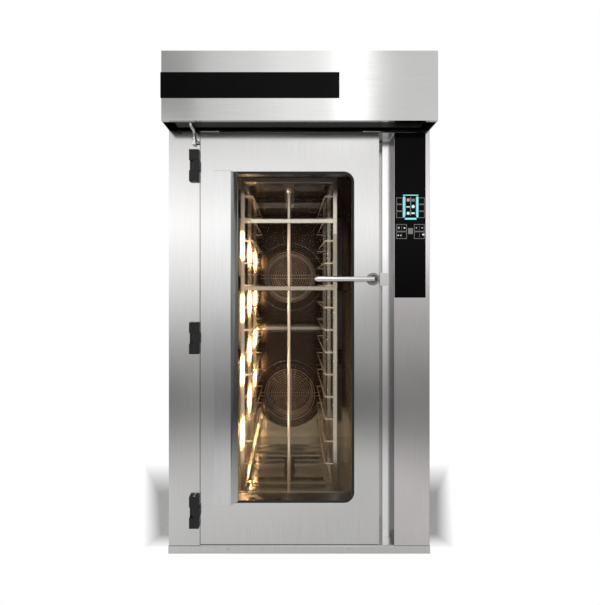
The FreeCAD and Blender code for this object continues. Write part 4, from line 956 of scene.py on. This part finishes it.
def hose_ribs():
    """Rings along the run, the drop and the two bends of the lead."""
    rings = []
    across, along = (1, 0, 0), (0, 1, 0)
    for step in range(int((axis_y - gland_y - 2 * BEND) / RIB_PITCH) + 1):
        place = (axis_x, gland_y + BEND + step * RIB_PITCH, RUN_HEIGHT)
        rings.append(circle_path(place, HOSE_RADIUS, RIB_SIDES))
    for step in range(DROP_RIBS):
        place = (axis_x, axis_y, RUN_HEIGHT - BEND - RIB_PITCH * step)
        rings.append(circle_path(place, HOSE_RADIUS, RIB_SIDES, across, along))
    turns = int(math.pi / 2 * BEND / RIB_PITCH)
    for step in range(turns + 1):
        turn = math.pi / 2 * step / turns
        reach = (0, math.cos(turn), math.sin(turn))
        fall = (axis_x, axis_y - BEND + BEND * reach[1], RUN_HEIGHT - BEND + BEND * reach[2])
        rise = (axis_x, gland_y + BEND - BEND * reach[1], RUN_HEIGHT + BEND - BEND * reach[2])
        for place in (fall, rise):
            rings.append(circle_path(place, HOSE_RADIUS, RIB_SIDES, across, reach))
    return rings


hose_rings = hose_ribs()
add_mesh("hose_ribs", tube_mesh("hose_ribs", hose_rings, RIB_RADIUS, 1, closed=True), "oven", turned_steel)
print(len(hose_rings), "ribs wound")

# %% [markdown]
# ## Sealing beads, and painted shade strips
# Where one sheet lands on another a cook would find dirt, so the joint is closed with a thin dark
# bead round three sides of the lamp profile. A thin dark strip along the top of the plinth is painted
# shadow, for the shade under the door and the body. A dark grey strip on the folded edge of the control
# column, beside the door jamb, is painted shade, for the shade the standing jamb casts on the column.

# %% Beads and painted shade strips
STRIP_WIDE = 1.4 * MILLIMETRE
STRIP_PROUD = 0.5 * MILLIMETRE
BEAD_SHORT = 30 * MILLIMETRE
SHADE_STRIP_OUT = 1.8 * MILLIMETRE
SHADE_STRIP_IN = 1.4 * MILLIMETRE
SHADE_STRIP_SHORT = 20 * MILLIMETRE
# The dark grey of the painted shade strip on the column's edge beside the jamb.
jamb_shade_grey = metal("jamb_shade_strip", (0.14, 0.135, 0.13), (0.3, 0.4), ROUND)


def front_strip(low_x, high_x, low_z, high_z):
    """A flat strip on the front plane, for a sealing bead and for the painted shadow line at the plinth.
    """
    return block("front_strip", (low_x, front - STRIP_PROUD, low_z), (high_x, front, high_z))


lamp_low, lamp_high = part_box("lamp_housing")
door_beads = [front_strip(lamp_low[0] - STRIP_WIDE, lamp_low[0], lamp_low[2] - STRIP_WIDE, lamp_high[2] + STRIP_WIDE),
              front_strip(lamp_low[0], lamp_high[0] - BEAD_SHORT, lamp_low[2] - STRIP_WIDE, lamp_low[2]),
              front_strip(lamp_low[0], lamp_high[0] - BEAD_SHORT, lamp_high[2], lamp_high[2] + STRIP_WIDE)]
add_mesh("profile_beads", join("profile_beads", door_beads), "door", silicone)
fascia_low, fascia_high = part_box("front_fascia_left")
column_low, column_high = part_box("control_column")
plinth_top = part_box("base_frame")[1][2]
# Painted shadow: a dark strip along the top of the plinth, for the shade under the door and the body.
plinth_shadow_strips = [front_strip(fascia_low[0], fascia_high[0], plinth_top, plinth_top + STRIP_WIDE),
              front_strip(column_low[0], column_high[0], plinth_top, plinth_top + STRIP_WIDE)]
add_mesh("plinth_shadow_strips", join("plinth_shadow_strips", plinth_shadow_strips), "oven", silicone)
jamb_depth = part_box("door_jamb")[0][1]
# Painted shade: a dark grey strip on the column's folded edge, where the jamb shades it.
jamb_shade = block("jamb_shade", (panel_low[0] - SHADE_STRIP_OUT, front + STRIP_WIDE, plinth_top + STRIP_WIDE),
             (panel_low[0] - SHADE_STRIP_IN, jamb_depth - STRIP_WIDE, column_high[2] - SHADE_STRIP_SHORT))
add_mesh("jamb_shade_strip", jamb_shade, "oven", jamb_shade_grey)
print("beads", len(door_beads) + len(plinth_shadow_strips), "trim at", round(panel_low[0] - SHADE_STRIP_OUT, 4))

# %% [markdown]
# ## Louvre blades
# Behind each slot of the rear panel a pressed blade leans inwards, so water cannot run in. It is a
# thin block whose foot is pushed further in than its top.

# %% Louvre blades
LOUVRES = 18
LOUVRE_PITCH = 50 * MILLIMETRE
LOUVRE_LOW = 400 * MILLIMETRE
LOUVRE_HIGH = 12 * MILLIMETRE
LOUVRE_WIDE = 220 * MILLIMETRE
LOUVRE_IN = 150 * MILLIMETRE
LOUVRE_LEAN = 10 * MILLIMETRE
LOUVRE_THICK = 1 * MILLIMETRE
REAR_SHEET = 2 * MILLIMETRE


def louvre_blade(left, foot, outer):
    """A thin blade from the top of a slot, leaning inwards and down."""
    mesh = block("blade", (left, outer - LOUVRE_THICK, foot),
                 (left + LOUVRE_WIDE, outer, foot + LOUVRE_HIGH))
    for corner in mesh.vertices:
        corner.co.y -= LOUVRE_LEAN * (1 - (corner.co.z - foot) / LOUVRE_HIGH)
    return mesh


rear_low, rear_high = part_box("rear_panel")
inside_rear = rear_high[1] - REAR_SHEET
blades = [louvre_blade(left, LOUVRE_LOW + number * LOUVRE_PITCH, inside_rear)
          for left in (rear_low[0] + LOUVRE_IN, rear_high[0] - LOUVRE_IN - LOUVRE_WIDE)
          for number in range(LOUVRES)]
add_mesh("louvre_blades", join("louvre_blades", blades), "oven", zinc_sheet)
print(len(blades), "louvre blades")

# %% [markdown]
# ## The ring on the handle's rose
# The rose is a turned disc with a raised ring near its rim. A thin round wire that is half sunk into
# its face stands for that ring.

# %% Rose ring
ROSE_RING_RADIUS = 23 * MILLIMETRE
ROSE_RING_WIRE = 1 * MILLIMETRE
rose_x, _, rose_z = middle("handle_rose")
rose_path = circle_path((rose_x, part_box("handle_rose")[0][1], rose_z), ROSE_RING_RADIUS, 48)
rose_ring = tube_mesh("rose_ring", [rose_path], ROSE_RING_WIRE, closed=True)
add_mesh("rose_ring", rose_ring, "door", turned_steel)
print("rose ring of", len(rose_path), "steps")

# %% [markdown]
# ## Ribs on the hinge blocks
# Each hinge is three knuckles high, and the outer two belong to the fixed block. Each of those has a
# moulded rib down its face.

# %% Hinge ribs
HINGE_FEET = (0.125, 0.920, 1.709)
KNUCKLE_HIGH = 145 / 3 * MILLIMETRE
RIB_IN = 13 * MILLIMETRE
RIB_WIDE = 2 * MILLIMETRE
RIB_PROUD = 0.8 * MILLIMETRE
RIB_END = 3 * MILLIMETRE
block_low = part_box("hinge_blocks")[0]
rib_left = block_low[0] + RIB_IN
hinge_ribs = []
for base in HINGE_FEET:
    for lift in (0, 2):
        foot = base + lift * KNUCKLE_HIGH + RIB_END
        top = foot + KNUCKLE_HIGH - 2 * RIB_END
        hinge_ribs.append(block("rib", (rib_left, block_low[1] - RIB_PROUD, foot),
                                (rib_left + RIB_WIDE, block_low[1], top)))
add_mesh("hinge_ribs", join("hinge_ribs", hinge_ribs), "oven", hinge_black)
print(len(hinge_ribs), "hinge ribs")

# %% [markdown]
# ## The room that the steel mirrors
# Polished sheet looks like whatever stands in front of it. In the photo the hood mirrors a bright
# upright lamp box between two grey walls, and the door fades from light to grey as it mirrors
# lower and lower parts of the room. The world draws that room by direction: one level by height, and
# one by side for the part above the camera that only the hood can see. The levels were set
# until the steel came close to the photo, so they suit this view and describe no measured room.

# %% Room
ROOM_BY_HEIGHT = ((-1.0, 0.60), (-0.64, 0.62), (-0.57, 0.74), (-0.50, 0.86), (-0.44, 0.84), (-0.40, 0.46),
                  (-0.355, 0.15), (-0.29, 0.22), (-0.20, 0.42), (-0.12, 0.62), (-0.04, 1.00), (0.06, 1.28),
                  (0.17, 1.56), (0.28, 1.28), (0.37, 1.06), (0.42, 1.00))
ROOM_BY_SIDE = ((-0.40, 0.46), (-0.31, 0.48), (-0.255, 0.86), (-0.13, 1.02), (0.0, 1.28), (0.11, 1.34),
                (0.152, 2.3), (0.215, 2.3), (0.235, 0.98), (0.32, 0.86), (0.40, 0.88))
BRIGHTEST = 3.0
AMBIENT = 0.24
INSIDE = 0.02
DARK_SIDE = 0.26
GREY_RIGHT = 0.36
LEFT_TO_RIGHT = (-0.4, 0.3, 1.10, 0.96)
BELOW_LEVEL = 0.03
LEVEL_BAND = (0.03, 0.13, 1.0, 0.0)
RIGHT_BAND = (0.10, 0.24, 0.0, GREY_RIGHT)
FAR_RIGHT = (0.80, 0.93, 1.0, DARK_SIDE)
ABOVE_CAMERA = (0.385, 0.41, 0.0, 1.0)
IN_FRONT = (0.2, 0.4, 0.0, 1.0)
LEAST_AHEAD = 0.05


def level_ramp(tree, source, stops):
    """A level that follows a value through a few stops."""
    ramp = tree.nodes.new("ShaderNodeValToRGB")
    ramp.color_ramp.interpolation = "EASE"
    first, last = stops[0][0], stops[-1][0]
    while len(ramp.color_ramp.elements) < len(stops):
        ramp.color_ramp.elements.new(1.0)
    for number, (value, level) in enumerate(stops):
        element = ramp.color_ramp.elements[number]
        element.position = (value - first) / (last - first)
        element.color = (level / BRIGHTEST,) * 3 + (1,)
    tree.links.new(spread(tree, source, first, last, 0.0, 1.0), ramp.inputs["Fac"])
    return times(tree, ramp.outputs["Color"], BRIGHTEST)


def room_level(tree):
    """How bright a mirror-like ray finds the room, by its direction."""
    way = axes(tree, "Generated")
    ahead = times(tree, way["Y"], -1.0)
    slope = arithmetic(tree, "DIVIDE", way["X"], arithmetic(tree, "MAXIMUM", ahead, LEAST_AHEAD))
    up = way["Z"]
    from_level = arithmetic(tree, "ABSOLUTE", arithmetic(tree, "ADD", up, BELOW_LEVEL), 0.0)
    grey = times(tree, spread(tree, from_level, *LEVEL_BAND), spread(tree, slope, *RIGHT_BAND))
    by_height = times(tree, level_ramp(tree, up, ROOM_BY_HEIGHT), spread(tree, slope, *LEFT_TO_RIGHT))
    by_height = times(tree, by_height, minus(tree, 1.0, grey))
    by_height = times(tree, by_height, spread(tree, way["X"], *FAR_RIGHT))
    by_side = level_ramp(tree, slope, ROOM_BY_SIDE)
    above = times(tree, spread(tree, up, *ABOVE_CAMERA), spread(tree, ahead, *IN_FRONT))
    return between(tree, above, by_height, by_side)


def studio_world():
    """White for the camera, a drawn room for mirror-like rays, an even light for the rest."""
    world = bpy.data.worlds.new("studio")
    world.use_nodes = True
    bpy.context.scene.world = world
    tree = world.node_tree
    tree.nodes.clear()
    path = tree.nodes.new("ShaderNodeLightPath")
    mirrored = arithmetic(tree, "GREATER_THAN", path.outputs["Glossy Depth"], 0.5)
    through = arithmetic(tree, "GREATER_THAN", path.outputs["Transmission Depth"], 0.5)
    level = between(tree, path.outputs["Is Glossy Ray"], AMBIENT, room_level(tree))
    level = between(tree, times(tree, mirrored, through), level, INSIDE)
    clear = times(tree, path.outputs["Is Transmission Ray"], minus(tree, 1.0, mirrored))
    plain = arithmetic(tree, "MAXIMUM", path.outputs["Is Camera Ray"], clear)
    level = between(tree, plain, level, 1.0)
    light = tree.nodes.new("ShaderNodeBackground")
    light.inputs["Color"].default_value = (1, 1, 1, 1)
    tree.links.new(level, light.inputs["Strength"])
    out = tree.nodes.new("ShaderNodeOutputWorld")
    tree.links.new(light.outputs[0], out.inputs["Surface"])


studio_world()
print("room drawn with", len(ROOM_BY_HEIGHT) + len(ROOM_BY_SIDE), "stops")

# %% [markdown]
# ## The floor
# The floor is pale and takes the oven's soft shadow. A mask keeps that shadow to a wedge on each side
# of the oven and behind it. Everywhere else the floor is plain white light, so that no horizon shows.
# Mirror-like rays pass through it and see the room instead.

# %% Floor
FLOOR_HALF = 12.0
SHADOW_EDGE = (0.03, 0.115)
SHADOW_SPREAD = 0.42
SHADOW_STARTS = 0.15
SHADOW_FADES = 0.35
FADE_SLOPE = 0.26
half_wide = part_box("side_panel_right")[1][0]


def floor_finish():
    """Pale where the mask lets the shadow show, plain white light elsewhere."""
    finish, tree, shader = new_finish("studio_floor")
    tint = noise_range(tree, noise_node(tree, 3.0, 2), 0.98, 1.0)
    tree.links.new(blended(tree, "MULTIPLY", 1.0, (0.93, 0.93, 0.93), tint), shader.inputs["Base Color"])
    shader.inputs["Roughness"].default_value = 0.6
    shader.inputs["Specular IOR Level"].default_value = 0.0
    place = axes(tree)
    back = minus(tree, place["Y"], front)
    aside = minus(tree, arithmetic(tree, "ABSOLUTE", place["X"], 0.0), half_wide)
    aside = minus(tree, aside, times(tree, back, SHADOW_SPREAD))
    ahead = minus(tree, SHADOW_STARTS, back)
    behind = times(tree, minus(tree, back, SHADOW_FADES), FADE_SLOPE)
    away = arithmetic(tree, "MAXIMUM", arithmetic(tree, "MAXIMUM", aside, ahead), behind)
    white = tree.nodes.new("ShaderNodeEmission")
    white.inputs["Color"].default_value = (1, 1, 1, 1)
    share = spread(tree, away, *SHADOW_EDGE, 0.0, 1.0)
    mix_shaders(tree, share, shader.outputs["BSDF"], white.outputs[0])
    return finish


floor_mesh = bpy.data.meshes.new("floor")
floor_mesh.from_pydata([(-FLOOR_HALF, -FLOOR_HALF, 0), (FLOOR_HALF, -FLOOR_HALF, 0),
                        (FLOOR_HALF, FLOOR_HALF, 0), (-FLOOR_HALF, FLOOR_HALF, 0)], [], [(0, 1, 2, 3)])
floor = bpy.data.objects.new("floor", floor_mesh)
bpy.context.scene.collection.objects.link(floor)
floor_mesh.materials.append(floor_finish())
floor.visible_glossy = False
floor.visible_transmission = False
print("floor laid")

# %% [markdown]
# ## Lamps
# Large soft lamps light the floor and the dull pieces. The steel does not mirror them, because the
# drawn room already says what it mirrors. Each row below is one lamp: its name, where it stands,
# what it points at, how wide and high it is, and its watts.

# %% Studio lamps
def soft_lamp(name, place, aim, size, power, colour=(1, 1, 1), mirrored=False):
    """A rectangular lamp that points at a place."""
    data = bpy.data.lights.new(name, "AREA")
    data.shape = "RECTANGLE"
    data.size, data.size_y = size
    data.energy = power
    data.color = colour
    lamp = bpy.data.objects.new(name, data)
    lamp.location = place
    lamp.rotation_euler = (Vector(aim) - Vector(place)).to_track_quat("-Z", "Y").to_euler()
    lamp.visible_camera = False
    lamp.visible_glossy = mirrored
    lamp.visible_transmission = False
    bpy.context.scene.collection.objects.link(lamp)


STUDIO_LAMPS = (
    ("front_left", (-3.2, -4.2, 3.2), (0, 0, 1.2), (2.4, 3.0), 18),
    ("front_right", (3.4, -4.0, 3.0), (0, 0, 1.1), (2.0, 3.0), 16),
    ("overhead", (0, -1.6, 5.0), (0, 0, 0), (2.4, 2.4), 22),
    ("behind", (0, 4.5, 3.2), (0, 0, 1.2), (3.0, 3.0), 6),
)
for row in STUDIO_LAMPS:
    soft_lamp(*row)
print(len(STUDIO_LAMPS), "studio lamps lit")

# %% [markdown]
# ## The warm glow in the chamber
# The real lamps sit behind the steel profile and shine sideways into the chamber. Stand-ins do that
# here: at four levels a warm strip and a narrower gold one, close to the profile but not at the
# lamps' own places. They show only in reflections, as gold lines and spots on the rack's left posts
# and on the ends of its bars. A broad fill and a faint glow behind the glass stand for the light that
# the walls throw back. None of these lamps is a part of the oven, and none moves with the door.

# %% Chamber lamps
WARM = (1.0, 0.66, 0.34)
GOLD = (1.0, 0.56, 0.24)
PALE_WARM = (1.0, 0.84, 0.68)
GLOWS = (0.30, 0.42, 0.26, 0.36)
LAMP_X = -0.362
GLOW_X = -0.315
STRIP_Y = -0.50
LAMP_FIRST = 0.405
LAMP_PITCH = 0.350
STRIP_SIZE = (0.035, 0.10)
STRIP_POWER = 0.9
GLOW_SIZE = (0.026, 0.15)
FILL_SIZE = (0.5, 1.5)
FILL_POWER = 4.0
WINDOW_SIZE = (0.55, 1.50)
WINDOW_POWER = 0.95
WINDOW_TINT = (1, 0.93, 0.85)
GLOW_BEHIND = 4 * MILLIMETRE
AIM_BACK = 0.4
for number, glow_power in enumerate(GLOWS):
    height = LAMP_FIRST + number * LAMP_PITCH
    soft_lamp(f"door_lamp_{number}", (LAMP_X, STRIP_Y, height), (LAMP_X + 0.1, AIM_BACK, height),
              STRIP_SIZE, STRIP_POWER, WARM, mirrored=True)
    soft_lamp(f"post_glow_{number}", (GLOW_X, STRIP_Y, height), (GLOW_X + 0.12, 0.0, height),
              GLOW_SIZE, glow_power, GOLD, mirrored=True)
window_x, _, window_z = middle("door_glass_outer")
soft_lamp("chamber_fill", (window_x, STRIP_Y, 1.0), (window_x, AIM_BACK, 0.8), FILL_SIZE, FILL_POWER,
          PALE_WARM)
soft_lamp("window_glow", (window_x, STRIP_Y + GLOW_BEHIND, window_z), (window_x, AIM_BACK, window_z),
          WINDOW_SIZE, WINDOW_POWER, WINDOW_TINT, mirrored=True)
print("door lamps lit")
